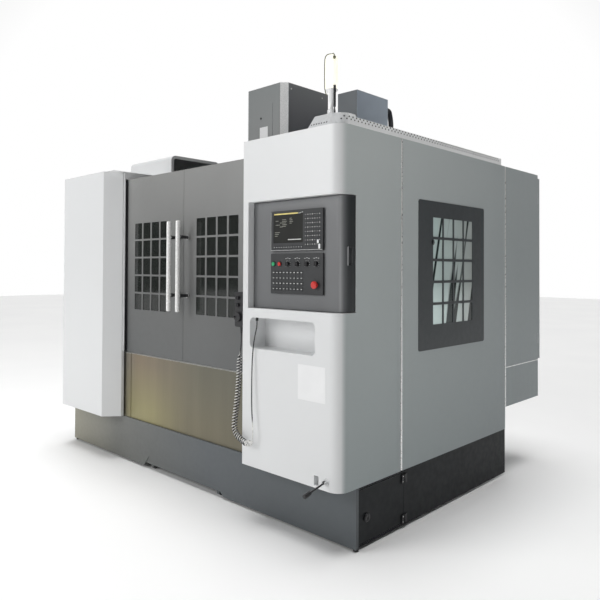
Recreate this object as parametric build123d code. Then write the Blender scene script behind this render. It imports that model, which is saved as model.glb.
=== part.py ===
"""Vertical machining centre with a sliding-door enclosure.

The model is drawn with x across the machine, y going back from the front
face of the control cabinet and z up from the floor. It is moved back at the
end, so that its origin lies under the middle of its bounding box.
"""
from build123d import *
import math
import os

# Overall sizes of the enclosure, in millimetres
WIDTH = 3080.0
PANEL_TOP = 2214.0
PANEL_BOTTOM = 332.0
PANEL_REAR = 1843.0
WRAP_DEPTH = 540.0
SHEET = 3.0
SEAM = 4.0
FLANGE = 30.0
CORNER_RADIUS = 70.0
SEAM_RADIUS = 12.0

# Front covers and the door opening between them
COVER_DEPTH = 132.0
LEFT_FACE_WIDTH = 704.0
LEFT_COVER_WIDTH = 798.0
LEFT_BEVEL_DEPTH = 110.0
CABINET_WIDTH = 742.0

# Doors
DOOR_FACE = 150.0
DOOR_BOTTOM = 826.0
DOOR_TOP = 2155.0
DOOR_THICKNESS = 40.0
DOOR_SPLIT = -2.0
DOOR_GAP = 3.0
DOOR_OVERLAP = 40.0
CELL_WIDTH = 96.0
CELL_HEIGHT = 120.0
CELL_BAR_X = 17.0
CELL_BAR_Z = 13.0
CELL_COLUMNS = 4
CELL_ROWS = 5
CELL_RADIUS = 5.0
WINDOW_BOTTOM = 1157.0
WINDOW_SHIFT = 36.5
GLASS = 6.0
HANDLE_OFFSET = 53.0
HANDLE_REACH = 86.0
HANDLE_RADIUS = 15.0
HANDLE_BOTTOM = 1175.0
HANDLE_TOP = 1792.0
RAIL_TOP = 838.0
ROLLER_RADIUS = 22.0
ROLLER_WIDTH = 10.0
GUIDE_DROP = 21.0
GUIDE_HEIGHT = 64.0
RUNNING_GAP = 0.3

# Apron and skirt
APRON_TOP = 820.0
SKIRT_FACE = 135.6
SKIRT_BOTTOM = 15.0
SKIRT_TOP = 330.0
SKIRT_INSET = 3.0
SIDE_SKIRT_INSET = 10.0
SKIRT_REAR = 1860.0
CUTOUT_HALF = 460.0
CUTOUT_SLANT = 67.0
CUTOUT_TOP = 90.0
TANK_DEPTH = 280.0
APRON_STRIP = 75.0
HATCH_FRONT = 166.0
HATCH_REAR = 584.0
HATCH_BOTTOM = 22.0
HATCH_TOP = 316.0
HINGE_HEIGHTS = (51.0, 279.0)
HINGE_RADIUS = 6.0
HINGE_PIN_RADIUS = 2.5
SHAFT_CLEARANCE = 0.05

# Operator panel, pocket and lever on the control cabinet
PANEL_RECESS_WIDTH = 698.0
PANEL_RECESS_SIDE = 126.0
PANEL_RECESS_BOTTOM = 1242.0
PANEL_RECESS_TOP = 1854.0
HOUSING_FACE = 44.0
HOUSING_GAP = 4.0
DISPLAY_INSET = 542.0
DISPLAY_WIDTH = 396.0
DISPLAY_BOTTOM = 1568.0
DISPLAY_HEIGHT = 224.0
DISPLAY_PROUD = 14.0
KEY_PANEL_BOTTOM = 1330.0
KEY_PANEL_TOP = 1554.0
KEY_PANEL_PROUD = 12.0
KNOB_ROW = 1496.0
START_OFFSET = 26.0
STOP_OFFSET = 74.0
KNOB_OFFSETS = (138.0, 210.0, 282.0, 350.0)
KNOB_RADIUS = 13.0
KNOB_LENGTH = 18.0
KNOB_SHAFT = 3.0
BUTTON_RADIUS = 11.0
BUTTON_LENGTH = 9.0
BUTTON_TRAVEL = 3.0
STOP_KNOB_OFFSET = 348.0
STOP_KNOB_Z = 1384.0
STOP_KNOB_RADIUS = 20.0
STOP_KNOB_TRAVEL = 5.0
POCKET_INSET = 171.0
POCKET_WIDTH = 509.0
POCKET_BOTTOM = 1012.0
POCKET_TOP = 1189.0
POCKET_DEPTH = 120.0
POCKET_RADIUS = 30.0
NOTCH_INSET = 142.0
NOTCH_WIDTH = 32.0
NOTCH_BOTTOM = 345.0
NOTCH_TOP = 396.0
NOTCH_DEPTH = 30.0
LEVER_INSET = 91.0
LEVER_Z = 378.0
LEVER_PIVOT_Y = -13.0
LEVER_LENGTH = 153.0
LEVER_DROOP = 12.0
LEVER_ROD_RADIUS = 5.0
LEVER_KNOB_RADIUS = 12.0
LEVER_KNOB_CHAMFER = 2.0

# Hand pendant and its curly cord
PENDANT_GAP = 6.0
PENDANT_WIDTH = 70.0
PENDANT_DEPTH = 50.0
PENDANT_BOTTOM = 1125.0
PENDANT_HEIGHT = 205.0
PENDANT_RADIUS = 12.0
WHEEL_RADIUS = 28.0
LEAD_DIAMETER = 7.0
CURL_DIAMETER = 28.0
RELIEF_LENGTH = 40.0
GLAND_LENGTH = 20.0
GLAND_RADIUS = 8.0

# Side windows
SIDE_FRAME_FRONT = 711.0
SIDE_FRAME_REAR = 1513.0
SIDE_FRAME_BOTTOM = 987.0
SIDE_FRAME_TOP = 1883.0
SIDE_CELL_Y = 868.0
SIDE_CELL_Z = 1136.0
SIDE_CELL_WIDTH = 109.0
SIDE_CELL_HEIGHT = 117.0
SIDE_CELL_BAR = 16.0

# Roof plates, lamp and magazine cover
LIP_HEIGHT = 45.0
LIP_RETURN = 12.0
ROOF_FRONT = 30.0
ROOF_REAR = 1780.0
ROOF_INSET = 6.0
RIGHT_ROOF_WIDTH = 325.0
PLINTH_FRONT = 8.0
PLINTH_LEFT = 237.0
PLINTH_DEPTH = 167.0
PLINTH_HEIGHT = 68.0
PLINTH_SLANT = 23.0
LAMP_INSET = 135.0
LAMP_Y = 85.0
LAMP_POLE_RADIUS = 23.0
LAMP_POLE_HEIGHT = 138.0
LENS_RADIUS = 26.0
LENS_HEIGHT = 185.0
MAG_COVER_INSET = 162.0
MAG_COVER_GAP = 10.0
MAG_COVER_FRONT = 560.0
MAG_COVER_REAR = 1067.0
MAG_COVER_TOP = 2407.0
MAG_COVER_RADIUS = 45.0
MAG_COVER_RIM = 25.0

# Electrical cabinet at the rear
ECAB_GAP = 10.0
ECAB_REAR = 2407.0
ECAB_BOTTOM = 487.0
ECAB_DOOR_BOTTOM = 776.0
ECAB_DOOR_TOP = 2190.0
ECAB_DOOR_DEPTH = 52.0
ECAB_HINGE_RADIUS = 4.0
SWITCH_INSET = 140.0
SWITCH_Z = 2000.0
SWITCH_RADIUS = 24.0
SWITCH_PROUD = 30.0

# Bed, saddle, table and column
BED_HALF = 430.0
BED_FRONT = 440.0
BED_TOP = 520.0
BED_BOTTOM = 70.0
BED_FOOT_HALF = 552.0
COLUMN_FRONT = 1790.0
COLUMN_REAR = 2380.0
COLUMN_TOP = 2650.0
COLUMN_HALF = 360.0
COLUMN_LEG = 550.0
COLUMN_KNEE = 760.0
COLUMN_SHOULDER = 1150.0
ARCH_HALF = 445.0
ARCH_TOP = 716.0
RAIL_WIDTH = 45.0
RAIL_HEIGHT = 45.0
Y_RAIL_X = 340.0
X_RAIL_Y = 200.0
Z_RAIL_X = 215.0
SPINDLE_Y = 1110.0
SADDLE_BOTTOM = 590.0
SADDLE_TOP = 730.0
SADDLE_HALF = 850.0
SADDLE_DEPTH = 580.0
TABLE_LENGTH = 1200.0
TABLE_WIDTH = 600.0
TABLE_TOP = 900.0
TABLE_THICKNESS = 100.0
SLOT_COUNT = 5
SLOT_PITCH = 100.0
SLOT_WIDTH = 18.0
SLOT_DEPTH = 30.0
SLOT_HEAD_WIDTH = 30.0
SLOT_HEAD_HEIGHT = 13.0
SCREW_RADIUS = 16.0
CARRIAGE_HALF = 55.0
X_CARRIAGE_X = 245.0

# Head, spindle and their cover
NOSE_Z = 1620.0
HEAD_BOTTOM = 1720.0
HEAD_TOP = 2250.0
HEAD_HALF = 190.0
HEAD_FRONT = 960.0
PLATE_FRONT = 1640.0
PLATE_BACK = 1740.0
PLATE_HALF = 270.0
PLATE_BOTTOM = 1700.0
PLATE_TOP = 2300.0
SPINDLE_RADIUS = 35.0
NOSE_RADIUS = 44.0
TAPER_RADIUS = 22.2
TAPER_LENGTH = 65.0
HEAD_COVER_FRONT = 900.0
HEAD_COVER_REAR = 1403.0
HEAD_COVER_HALF = 227.0
HEAD_COVER_BEVEL = 45.0
HEAD_COVER_BOTTOM = 1760.0
HEAD_COVER_TOP = 2894.0
HEAD_LID_DROP = 144.0
HEAD_LID_HEIGHT = 420.0
CAP_X = 8.5
CAP_WIDTH = 227.0
CAP_FRONT = 1917.0
CAP_REAR = 2383.0
CAP_HEIGHT = 419.0
HOSE_RADIUS = 24.0
HOSE_X = 100.0
HOSE_BOW = 78.0
HOSE_DROP = 96.0
HOSE_ENTRY_Z = 2100.0

# Telescopic way covers
COVER_HALF = 415.0
COVER_STEP = 6.0
COVER_ROOF = 688.0
COVER_SKIRT = 540.0
WAY_COVER_LENGTH = 355.0
REAR_COVER_LENGTH = 400.0
Z_COVER_HALF = 260.0
Z_COVER_FACE = 1734.0
Z_COVER_BOTTOM = 720.0
Z_COVER_LENGTH = 375.0
WIPER = 10.0

# Tool changer
DRUM_Y = 813.5
DRUM_Z = 2050.0
DRUM_FACE = -790.0
DRUM_THICKNESS = 12.0
POT_COUNT = 20
POT_CIRCLE = 250.0
POT_RADIUS = 33.0
POT_LENGTH = 90.0
HOLDER_FLANGE = 31.5
HOLDER_REACH = 58.0
ARM_X = -407.0
ARM_Y = 962.0
ARM_HALF_LENGTH = 433.0
ARM_THICKNESS = 26.0
ARM_TOP = 1606.0
GRIP_RADIUS = 32.0
ARM_SHAFT_RADIUS = 30.0
BEAM_LEFT = -760.0
BEAM_RIGHT = -640.0
BEAM_BOTTOM = 1990.0
BEAM_TOP = 2130.0
GEARBOX_BOTTOM = 1850.0

# Places that follow from these sizes
HALF = WIDTH / 2
INNER = HALF - SHEET
LEFT_FACE_END = LEFT_FACE_WIDTH - HALF
LEFT_JAMB = LEFT_COVER_WIDTH - HALF
CABINET_LEFT = HALF - CABINET_WIDTH
WINDOW_WIDTH = CELL_COLUMNS * (CELL_WIDTH + CELL_BAR_X) - CELL_BAR_X
LEFT_WINDOW_X = (LEFT_JAMB + DOOR_SPLIT - WINDOW_WIDTH) / 2 - WINDOW_SHIFT
RIGHT_WINDOW_X = (CABINET_LEFT + DOOR_SPLIT - WINDOW_WIDTH) / 2 - WINDOW_SHIFT
GUIDE_TOP = DOOR_TOP - GUIDE_DROP
GUIDE_BOTTOM = GUIDE_TOP - GUIDE_HEIGHT
SKIRT_HALF = HALF - SKIRT_INSET
SIDE_SKIRT_X = SKIRT_HALF - SIDE_SKIRT_INSET
PANEL_RECESS_LEFT = HALF - PANEL_RECESS_WIDTH
DISPLAY_LEFT = HALF - DISPLAY_INSET
START_X = DISPLAY_LEFT + START_OFFSET
STOP_X = DISPLAY_LEFT + STOP_OFFSET
STOP_KNOB_X = DISPLAY_LEFT + STOP_KNOB_OFFSET
POCKET_RIGHT = HALF - POCKET_INSET
POCKET_LEFT = POCKET_RIGHT - POCKET_WIDTH
LEVER_X = HALF - LEVER_INSET
PENDANT_LEFT = CABINET_LEFT - PENDANT_GAP - PENDANT_WIDTH
RIGHT_ROOF_INNER = HALF - RIGHT_ROOF_WIDTH
LAMP_X = HALF - LAMP_INSET
MAG_COVER_LEFT = MAG_COVER_INSET - HALF
MAG_COVER_RIGHT = LEFT_JAMB - MAG_COVER_GAP
ECAB_LEFT = COLUMN_LEG + ECAB_GAP
SWITCH_X = HALF - SWITCH_INSET
CAP_TOP = COLUMN_TOP + CAP_HEIGHT
FRONT_REACH = -LEVER_PIVOT_Y + LEVER_LENGTH
BACK_REACH = ECAB_REAR + ECAB_DOOR_DEPTH + SWITCH_PROUD
MIDDLE_Y = (BACK_REACH - FRONT_REACH) / 2

parts = {}


def block(x0, x1, y0, y1, z0, z1):
    """Rectangular solid between two corners."""
    centre = Pos((x0 + x1) / 2, (y0 + y1) / 2, (z0 + z1) / 2)
    return centre * Box(x1 - x0, y1 - y0, z1 - z0)


def outline(points, rounded=None):
    """Flat outline; rounded gives the radius at a numbered corner."""
    face = Polygon(*points, align=None)
    for index, radius in (rounded or {}).items():
        corner = Vector(*points[index])
        face = fillet(face.vertices().sort_by_distance(corner)[0], radius)
    return face


def folded(points, thickness=SHEET, bend=0):
    """Section of a bent sheet: its outer line and the same line moved left."""
    line = [complex(*point) for point in points]
    normals = [1j * (b - a) / abs(b - a) for a, b in zip(line, line[1:])]
    pairs = zip([normals[0]] + normals, normals + [normals[-1]])
    inner = [p + thickness * (m + n) / (1 + (m * n.conjugate()).real)
             for p, (m, n) in zip(line, pairs)]
    rounded = {}
    for index in range(1, len(line) - 1 if bend else 1):
        rounded[index] = bend
        rounded[2 * len(line) - 1 - index] = bend - thickness
    return outline([(p.real, p.imag) for p in line + inner[::-1]], rounded)


def prism_x(face, x0, x1):
    """Section in y and z, drawn out from x0 to x1."""
    return extrude(Plane.YZ.offset(x0) * face, amount=x1 - x0, dir=(1, 0, 0))


def prism_y(face, y0, y1):
    """Section in x and z, drawn out from y0 to y1."""
    return extrude(Plane.XZ.offset(-y0) * face, amount=y1 - y0, dir=(0, 1, 0))


def prism_z(face, z0, z1):
    """Section in x and y, drawn out from z0 to z1."""
    return extrude(Plane.XY.offset(z0) * face, amount=z1 - z0, dir=(0, 0, 1))


def rod_x(radius, x0, x1, y, z):
    return Pos((x0 + x1) / 2, y, z) * Rot(0, 90, 0) * Cylinder(radius, x1 - x0)


def rod_y(radius, x, y0, y1, z):
    return Pos(x, (y0 + y1) / 2, z) * Rot(90, 0, 0) * Cylinder(radius, y1 - y0)


def rod_z(radius, x, y, z0, z1):
    return Pos(x, y, (z0 + z1) / 2) * Cylinder(radius, z1 - z0)


def rect(a0, a1, b0, b1, radius=0):
    """Flat rectangle between two corners, with rounded corners if asked."""
    centre = Pos((a0 + a1) / 2, (b0 + b1) / 2)
    if radius:
        return centre * RectangleRounded(a1 - a0, b1 - b0, radius)
    return centre * Rectangle(a1 - a0, b1 - b0)


def mirrored(shape):
    return mirror(shape, about=Plane.YZ)


def cell_grid(left, bottom, width, height, bar_a, bar_b, radius):
    """Flat cells of a window, as one sketch of rounded rectangles."""
    cells = []
    for column in range(CELL_COLUMNS):
        for row in range(CELL_ROWS):
            a = left + column * (width + bar_a)
            b = bottom + row * (height + bar_b)
            cells.append(rect(a, a + width, b, b + height, radius))
    return cells


def shell(face, z0, z1, wall=SHEET):
    """Closed sheet box on an outline."""
    inside = offset(face, amount=-wall, kind=Kind.INTERSECTION)
    return prism_z(face, z0, z1) - prism_z(inside, z0 + wall, z1 - wall)


def foot_flange(y0, y1):
    """Inward flange at the foot of a right-hand side skin."""
    return block(HALF - FLANGE, INNER, y0, y1, SKIRT_TOP, SKIRT_TOP + 4)


def top_flange(y0, y1):
    return block(HALF - FLANGE, INNER, y0, y1, PANEL_TOP - SHEET, PANEL_TOP)


def side_wrap(front):
    """Side skin that runs back from a front cover on the right-hand side."""
    section = folded([(HALF, front), (HALF, WRAP_DEPTH), (HALF - FLANGE, WRAP_DEPTH)],
                     bend=SEAM_RADIUS)
    skin = prism_z(section, PANEL_BOTTOM, PANEL_TOP)
    inner_end = WRAP_DEPTH - SEAM_RADIUS
    return skin + foot_flange(200, inner_end) + top_flange(front, inner_end)


def rounded_box(x0, x1, y0, y1, z0, z1, radius):
    """Box whose long edges along y are rounded."""
    return prism_y(rect(x0, x1, z0, z1, radius), y0, y1)


# Skirt, hatch, tank and feet

def make_front_skirt():
    section = folded([(200, SKIRT_TOP), (SKIRT_FACE, SKIRT_TOP), (SKIRT_FACE, SKIRT_BOTTOM)])
    half = SIDE_SKIRT_X - FLANGE - 8
    body = prism_x(section, -half, half)
    face = block(-SKIRT_HALF, SKIRT_HALF, SKIRT_FACE, SKIRT_FACE + SHEET, SKIRT_BOTTOM, SKIRT_TOP)
    returns = [block(SKIRT_HALF - SHEET, SKIRT_HALF, SKIRT_FACE, 158, SKIRT_BOTTOM, SKIRT_TOP)]
    returns.append(mirrored(returns[0]))
    notch = outline([
        (-CUTOUT_HALF, SKIRT_BOTTOM - 1),
        (-CUTOUT_HALF + CUTOUT_SLANT, CUTOUT_TOP),
        (CUTOUT_HALF - CUTOUT_SLANT, CUTOUT_TOP),
        (CUTOUT_HALF, SKIRT_BOTTOM - 1),
    ])
    return body + face + returns - prism_y(notch, 100, 210)


def make_side_skirt():
    """Right-hand skirt without its hatch opening."""
    x = SIDE_SKIRT_X
    section = folded([(x, SKIRT_BOTTOM), (x, SKIRT_TOP), (x - FLANGE - 7, SKIRT_TOP)])
    return prism_y(section, SKIRT_FACE + SHEET, SKIRT_REAR)


def hatch_opening():
    x = SIDE_SKIRT_X
    return block(x - 10, x + 10, HATCH_FRONT, HATCH_REAR, HATCH_BOTTOM, HATCH_TOP)


def make_hatch():
    x = SIDE_SKIRT_X
    gap = DOOR_GAP
    skin = block(x - SHEET, x, HATCH_FRONT + gap, HATCH_REAR - gap, HATCH_BOTTOM + gap, HATCH_TOP - gap)
    plug_y = HATCH_FRONT + 67
    plug_z = (HATCH_BOTTOM + HATCH_TOP) / 2 - 12
    skin += rod_x(17, x, x + 7, plug_y, plug_z)
    for z in HINGE_HEIGHTS:
        skin += block(x, x + 6, HATCH_REAR - 26, HATCH_REAR - 1, z - 25, z + 25)
        skin -= rod_z(HINGE_RADIUS + 1, x + 6, HATCH_REAR, z - RUNNING_GAP, z + 26)
        skin += rod_z(HINGE_RADIUS, x + 6, HATCH_REAR, z - 25, z - RUNNING_GAP)
        skin -= rod_z(HINGE_PIN_RADIUS + SHAFT_CLEARANCE, x + 6, HATCH_REAR, z - 25, z)
    return skin


def make_hatch_hinges():
    x = SIDE_SKIRT_X
    leaves = []
    for z in HINGE_HEIGHTS:
        leaf = block(x, x + 6, HATCH_REAR + 1, HATCH_REAR + 26, z - 25, z + 25)
        leaf -= rod_z(HINGE_RADIUS + 1, x + 6, HATCH_REAR, z - 26, z)
        leaf += rod_z(HINGE_RADIUS, x + 6, HATCH_REAR, z, z + 25)
        leaf += rod_z(HINGE_PIN_RADIUS, x + 6, HATCH_REAR, z - 24, z + 5)
        leaves.append(leaf)
    return leaves


def make_tank():
    half = CUTOUT_HALF - 20
    front = SKIRT_FACE + SHEET + 1
    rear = front + TANK_DEPTH
    middle = front + TANK_DEPTH / 2
    body = block(-half, half, front, rear, 40, 250)
    body -= block(-half + SHEET, half - SHEET, front + SHEET, rear - SHEET, 43, 251)
    body += block(-half, half, middle, middle + SHEET, 40, 200)
    for x in (-half + 60, half - 60):
        for y in (front + 40, rear - 40):
            body += rod_z(28, x, y, 34, 40)
            body += rod_x(20, x - 14, x + 14, y, 20) - block(x - 40, x + 40, y - 40, y + 40, -5, 0)
            body += block(x - 20, x - 14.5, y - 12, y + 12, 12, 36)
            body += block(x + 14.5, x + 20, y - 12, y + 12, 12, 36)
            body += rod_x(5, x - 18, x + 18, y, 20)
    return body


def make_pads():
    pads = []
    for x in (-1, 1):
        for y in (BED_FRONT + 60, (BED_FRONT + COLUMN_REAR) / 2, COLUMN_REAR - 80):
            reach = BED_HALF - 70
            pad = Pos(x * reach, y, 11) * Cone(70, 55, 22)
            pad += rod_z(20, x * reach, y, 20, BED_BOTTOM)
            pads.append(pad)
    return pads


# Bed, column and what moves on them

def rail_cut(half_width, height):
    return half_width + RUNNING_GAP, height + RUNNING_GAP


def make_bed():
    side = outline([
        (BED_FRONT, BED_BOTTOM), (BED_FRONT, BED_TOP),
        (COLUMN_REAR, BED_TOP), (COLUMN_REAR, BED_BOTTOM),
    ], {1: 40})
    body = prism_x(side, -BED_HALF, BED_HALF)
    foot = rect(-BED_FOOT_HALF, BED_FOOT_HALF, COLUMN_FRONT - 50, COLUMN_REAR)
    foot = fillet(foot.vertices(), 40)
    body += prism_z(foot, BED_BOTTOM, BED_TOP)
    length = COLUMN_FRONT - 140 - BED_FRONT
    for side_x in (-1, 1):
        for index in range(3):
            y0 = BED_FRONT + 60 + index * length / 3
            window = rect(y0, y0 + length / 3 - 60, BED_BOTTOM + 70, BED_TOP - 100, 40)
            x = side_x * (BED_HALF - 30)
            body -= prism_x(window, x - 30, x + 30.1)
    groove = rect(-70, 70, BED_TOP - 60, BED_TOP + 1)
    body -= prism_y(groove, BED_FRONT - 1, COLUMN_FRONT - 20)
    for x in (-Y_RAIL_X, Y_RAIL_X):
        body += block(x - RAIL_WIDTH / 2, x + RAIL_WIDTH / 2, BED_FRONT + 30,
                      COLUMN_FRONT, BED_TOP, BED_TOP + RAIL_HEIGHT)
    screw_z = BED_TOP + 10
    body += rod_y(SCREW_RADIUS, 0, BED_FRONT, COLUMN_FRONT - 20, screw_z)
    body += block(-65, 65, BED_FRONT - 190, BED_FRONT, screw_z - 65, screw_z + 65)
    body += block(-65, 65, BED_FRONT, BED_FRONT + 30, BED_TOP - 61, screw_z + 40)
    return body


def make_column():
    front = outline([
        (-COLUMN_LEG, BED_TOP), (-ARCH_HALF, BED_TOP), (-ARCH_HALF, ARCH_TOP),
        (ARCH_HALF, ARCH_TOP), (ARCH_HALF, BED_TOP), (COLUMN_LEG, BED_TOP),
        (COLUMN_LEG, COLUMN_KNEE), (COLUMN_HALF, COLUMN_SHOULDER), (COLUMN_HALF, COLUMN_TOP),
        (-COLUMN_HALF, COLUMN_TOP), (-COLUMN_HALF, COLUMN_SHOULDER), (-COLUMN_LEG, COLUMN_KNEE),
    ])
    body = prism_y(front, COLUMN_FRONT, COLUMN_REAR)
    for row in range(3):
        z0 = 1180 + row * 480
        pocket = rect(-COLUMN_HALF + 70, COLUMN_HALF - 70, z0, z0 + 400, 50)
        body -= prism_y(pocket, COLUMN_REAR - 60, COLUMN_REAR + 1)
    groove = rect(-70, 70, COLUMN_FRONT - 1, COLUMN_FRONT + 60)
    body -= prism_z(groove, 1080, COLUMN_TOP - 40)
    for x in (-Z_RAIL_X, Z_RAIL_X):
        body += block(x - RAIL_WIDTH / 2, x + RAIL_WIDTH / 2, COLUMN_FRONT - RAIL_HEIGHT,
                      COLUMN_FRONT, 1100, COLUMN_TOP - 20)
    body += rod_z(SCREW_RADIUS, 0, COLUMN_FRONT + 22, 1080, COLUMN_TOP - 40)
    return body


def make_cap():
    x0 = CAP_X - CAP_WIDTH / 2
    face = rect(x0, x0 + CAP_WIDTH, CAP_FRONT, CAP_REAR)
    face = fillet(face.vertices(), 4)
    return shell(face, COLUMN_TOP, CAP_TOP, SHEET)


def make_saddle():
    half_y = SADDLE_DEPTH / 2
    y0 = SPINDLE_Y - half_y
    y1 = SPINDLE_Y + half_y
    front = outline([
        (-BED_HALF, SADDLE_BOTTOM), (BED_HALF, SADDLE_BOTTOM),
        (SADDLE_HALF, SADDLE_BOTTOM + 70), (SADDLE_HALF, SADDLE_TOP),
        (-SADDLE_HALF, SADDLE_TOP), (-SADDLE_HALF, SADDLE_BOTTOM + 70),
    ])
    body = prism_y(front, y0, y1)
    trough = rect(SPINDLE_Y - 60, SPINDLE_Y + 60, SADDLE_TOP - 80, SADDLE_TOP + 1)
    body -= prism_x(trough, -SADDLE_HALF + 30, SADDLE_HALF - 30)
    for y in (SPINDLE_Y - X_RAIL_Y, SPINDLE_Y + X_RAIL_Y):
        body += block(-SADDLE_HALF, SADDLE_HALF, y - RAIL_WIDTH / 2, y + RAIL_WIDTH / 2,
                      SADDLE_TOP, SADDLE_TOP + RAIL_HEIGHT)
    screw_z = SADDLE_TOP - 40
    body += rod_x(SCREW_RADIUS, -SADDLE_HALF, SADDLE_HALF, SPINDLE_Y, screw_z)
    body += block(SADDLE_HALF, SADDLE_HALF + 190, SPINDLE_Y - 60, SPINDLE_Y + 60,
                  screw_z - 60, screw_z + 60)
    half, height = rail_cut(RAIL_WIDTH / 2, RAIL_HEIGHT)
    for x in (-Y_RAIL_X, Y_RAIL_X):
        for y in (y0 + 70, y1 - 70):
            carriage = block(x - 50, x + 50, y - 60, y + 60, BED_TOP + 12, SADDLE_BOTTOM)
            carriage -= block(x - half, x + half, y - 61, y + 61, BED_TOP, BED_TOP + height)
            body += carriage
    nut = block(-50, 50, SPINDLE_Y - 60, SPINDLE_Y + 60, BED_TOP - 35, SADDLE_BOTTOM)
    nut -= rod_y(SCREW_RADIUS + RUNNING_GAP, 0, y0, y1, BED_TOP + 10)
    return body + nut


def make_table():
    y0 = SPINDLE_Y - TABLE_WIDTH / 2
    y1 = SPINDLE_Y + TABLE_WIDTH / 2
    z0 = TABLE_TOP - TABLE_THICKNESS
    half = TABLE_LENGTH / 2
    section = outline([
        (y0, TABLE_TOP), (y0, TABLE_TOP - 45), (y0 + 40, z0), (y1 - 40, z0),
        (y1, TABLE_TOP - 45), (y1, TABLE_TOP),
    ])
    body = prism_x(section, -half, half)
    first = SPINDLE_Y - SLOT_PITCH * (SLOT_COUNT - 1) / 2
    slots = []
    for index in range(SLOT_COUNT):
        y = first + index * SLOT_PITCH
        floor = TABLE_TOP - SLOT_DEPTH
        slots.append(rect(y - SLOT_WIDTH / 2, y + SLOT_WIDTH / 2, floor, TABLE_TOP + 1))
        slots.append(rect(y - SLOT_HEAD_WIDTH / 2, y + SLOT_HEAD_WIDTH / 2,
                          floor, floor + SLOT_HEAD_HEIGHT))
    for slot in slots:
        body -= prism_x(slot, -half - 1, half + 1)
    half_rail, height = rail_cut(RAIL_WIDTH / 2, RAIL_HEIGHT)
    for x in (-X_CARRIAGE_X, X_CARRIAGE_X):
        for y in (SPINDLE_Y - X_RAIL_Y, SPINDLE_Y + X_RAIL_Y):
            carriage = block(x - CARRIAGE_HALF, x + CARRIAGE_HALF, y - 50, y + 50,
                             SADDLE_TOP + 8, z0)
            carriage -= block(x - 60, x + 60, y - half_rail, y + half_rail,
                              SADDLE_TOP, SADDLE_TOP + height)
            body += carriage
    nut = block(-50, 50, SPINDLE_Y - 45, SPINDLE_Y + 45, SADDLE_TOP - 75, z0)
    nut -= rod_x(SCREW_RADIUS + RUNNING_GAP, -60, 60, SPINDLE_Y, SADDLE_TOP - 40)
    return body + nut


def make_head():
    plan = outline([
        (-HEAD_HALF, HEAD_FRONT), (HEAD_HALF, HEAD_FRONT), (HEAD_HALF, 1250),
        (HEAD_HALF - 30, 1500), (HEAD_HALF, PLATE_FRONT + 1), (-HEAD_HALF, PLATE_FRONT + 1),
        (-HEAD_HALF + 30, 1500), (-HEAD_HALF, 1250),
    ], {0: 60, 1: 60})
    body = prism_z(plan, HEAD_BOTTOM, HEAD_TOP)
    body += block(-PLATE_HALF, PLATE_HALF, PLATE_FRONT, PLATE_BACK, PLATE_BOTTOM, PLATE_TOP)
    body += rod_z(110, 0, SPINDLE_Y, NOSE_Z + 14, HEAD_BOTTOM)
    body += Pos(0, SPINDLE_Y, HEAD_TOP + 15) * Cylinder(110, 30)
    half, height = rail_cut(RAIL_WIDTH / 2, RAIL_HEIGHT)
    for x in (-Z_RAIL_X, Z_RAIL_X):
        for z in (PLATE_BOTTOM + 70, PLATE_TOP - 70):
            carriage = block(x - 48, x + 48, PLATE_BACK, COLUMN_FRONT - 12, z - 60, z + 60)
            carriage -= block(x - half, x + half, COLUMN_FRONT - height, COLUMN_FRONT, z - 61, z + 61)
            body += carriage
    nut_y = COLUMN_FRONT + 22
    nut = block(-45, 45, PLATE_BACK, nut_y + 32, 1950, 2090)
    nut -= rod_z(SCREW_RADIUS + RUNNING_GAP, 0, nut_y, 1940, 2100)
    body += nut
    motor = rect(-95, 95, SPINDLE_Y - 95, SPINDLE_Y + 95, 25)
    body += prism_z(motor, HEAD_TOP + 30, HEAD_TOP + 460)
    for side in (-1, 1):
        for z in (HEAD_COVER_BOTTOM + 60, HEAD_TOP - 80):
            x0 = side * HEAD_HALF
            x1 = side * (HEAD_COVER_HALF - SHEET)
            body += block(min(x0, x1), max(x0, x1), 1080, 1140, z, z + 30)
    body -= rod_z(SPINDLE_RADIUS + SHAFT_CLEARANCE, 0, SPINDLE_Y, NOSE_Z, HEAD_TOP - 20)
    plate_y = (Z_COVER_FACE - COVER_STEP * 2, Z_COVER_FACE - COVER_STEP * 2 + SHEET)
    return body + z_cover(2, PLATE_BOTTOM - Z_COVER_LENGTH, plate_y)


def z_cover(step, bottom, plate_y):
    """One upright plate of the telescopic cover in front of the column."""
    half = Z_COVER_HALF + COVER_STEP * step
    y0 = plate_y[0]
    back = COLUMN_FRONT - (2 if step else 0)
    section = folded([(half, back), (half, y0), (-half, y0), (-half, back)], -SHEET)
    body = prism_z(section, bottom, bottom + Z_COVER_LENGTH)
    if step:
        lip = COVER_STEP - SHEET - RUNNING_GAP
        body += block(-half + SHEET, half - SHEET, y0 + SHEET, y0 + SHEET + lip,
                      bottom, bottom + WIPER)
    return body


def make_head_cover():
    half = HEAD_COVER_HALF
    flat = half - HEAD_COVER_BEVEL
    plan = [
        (half, HEAD_COVER_REAR), (half, HEAD_COVER_FRONT + HEAD_COVER_BEVEL),
        (flat, HEAD_COVER_FRONT), (-flat, HEAD_COVER_FRONT),
        (-half, HEAD_COVER_FRONT + HEAD_COVER_BEVEL), (-half, HEAD_COVER_REAR),
    ]
    body = prism_z(folded(plan, -SHEET), HEAD_COVER_BOTTOM, HEAD_COVER_TOP)
    body += prism_z(outline(plan), HEAD_COVER_TOP - SHEET, HEAD_COVER_TOP)
    back = rect(-half, half, HEAD_COVER_REAR - SHEET, HEAD_COVER_REAR)
    body += prism_z(back, HEAD_TOP + 40, HEAD_COVER_TOP)
    lid_top = HEAD_COVER_TOP - HEAD_LID_DROP
    hatch = rect(-100, 100, lid_top - HEAD_LID_HEIGHT, lid_top, 6)
    lid = prism_y(hatch, HEAD_COVER_FRONT - 2, HEAD_COVER_FRONT)
    return body + lid


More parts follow.
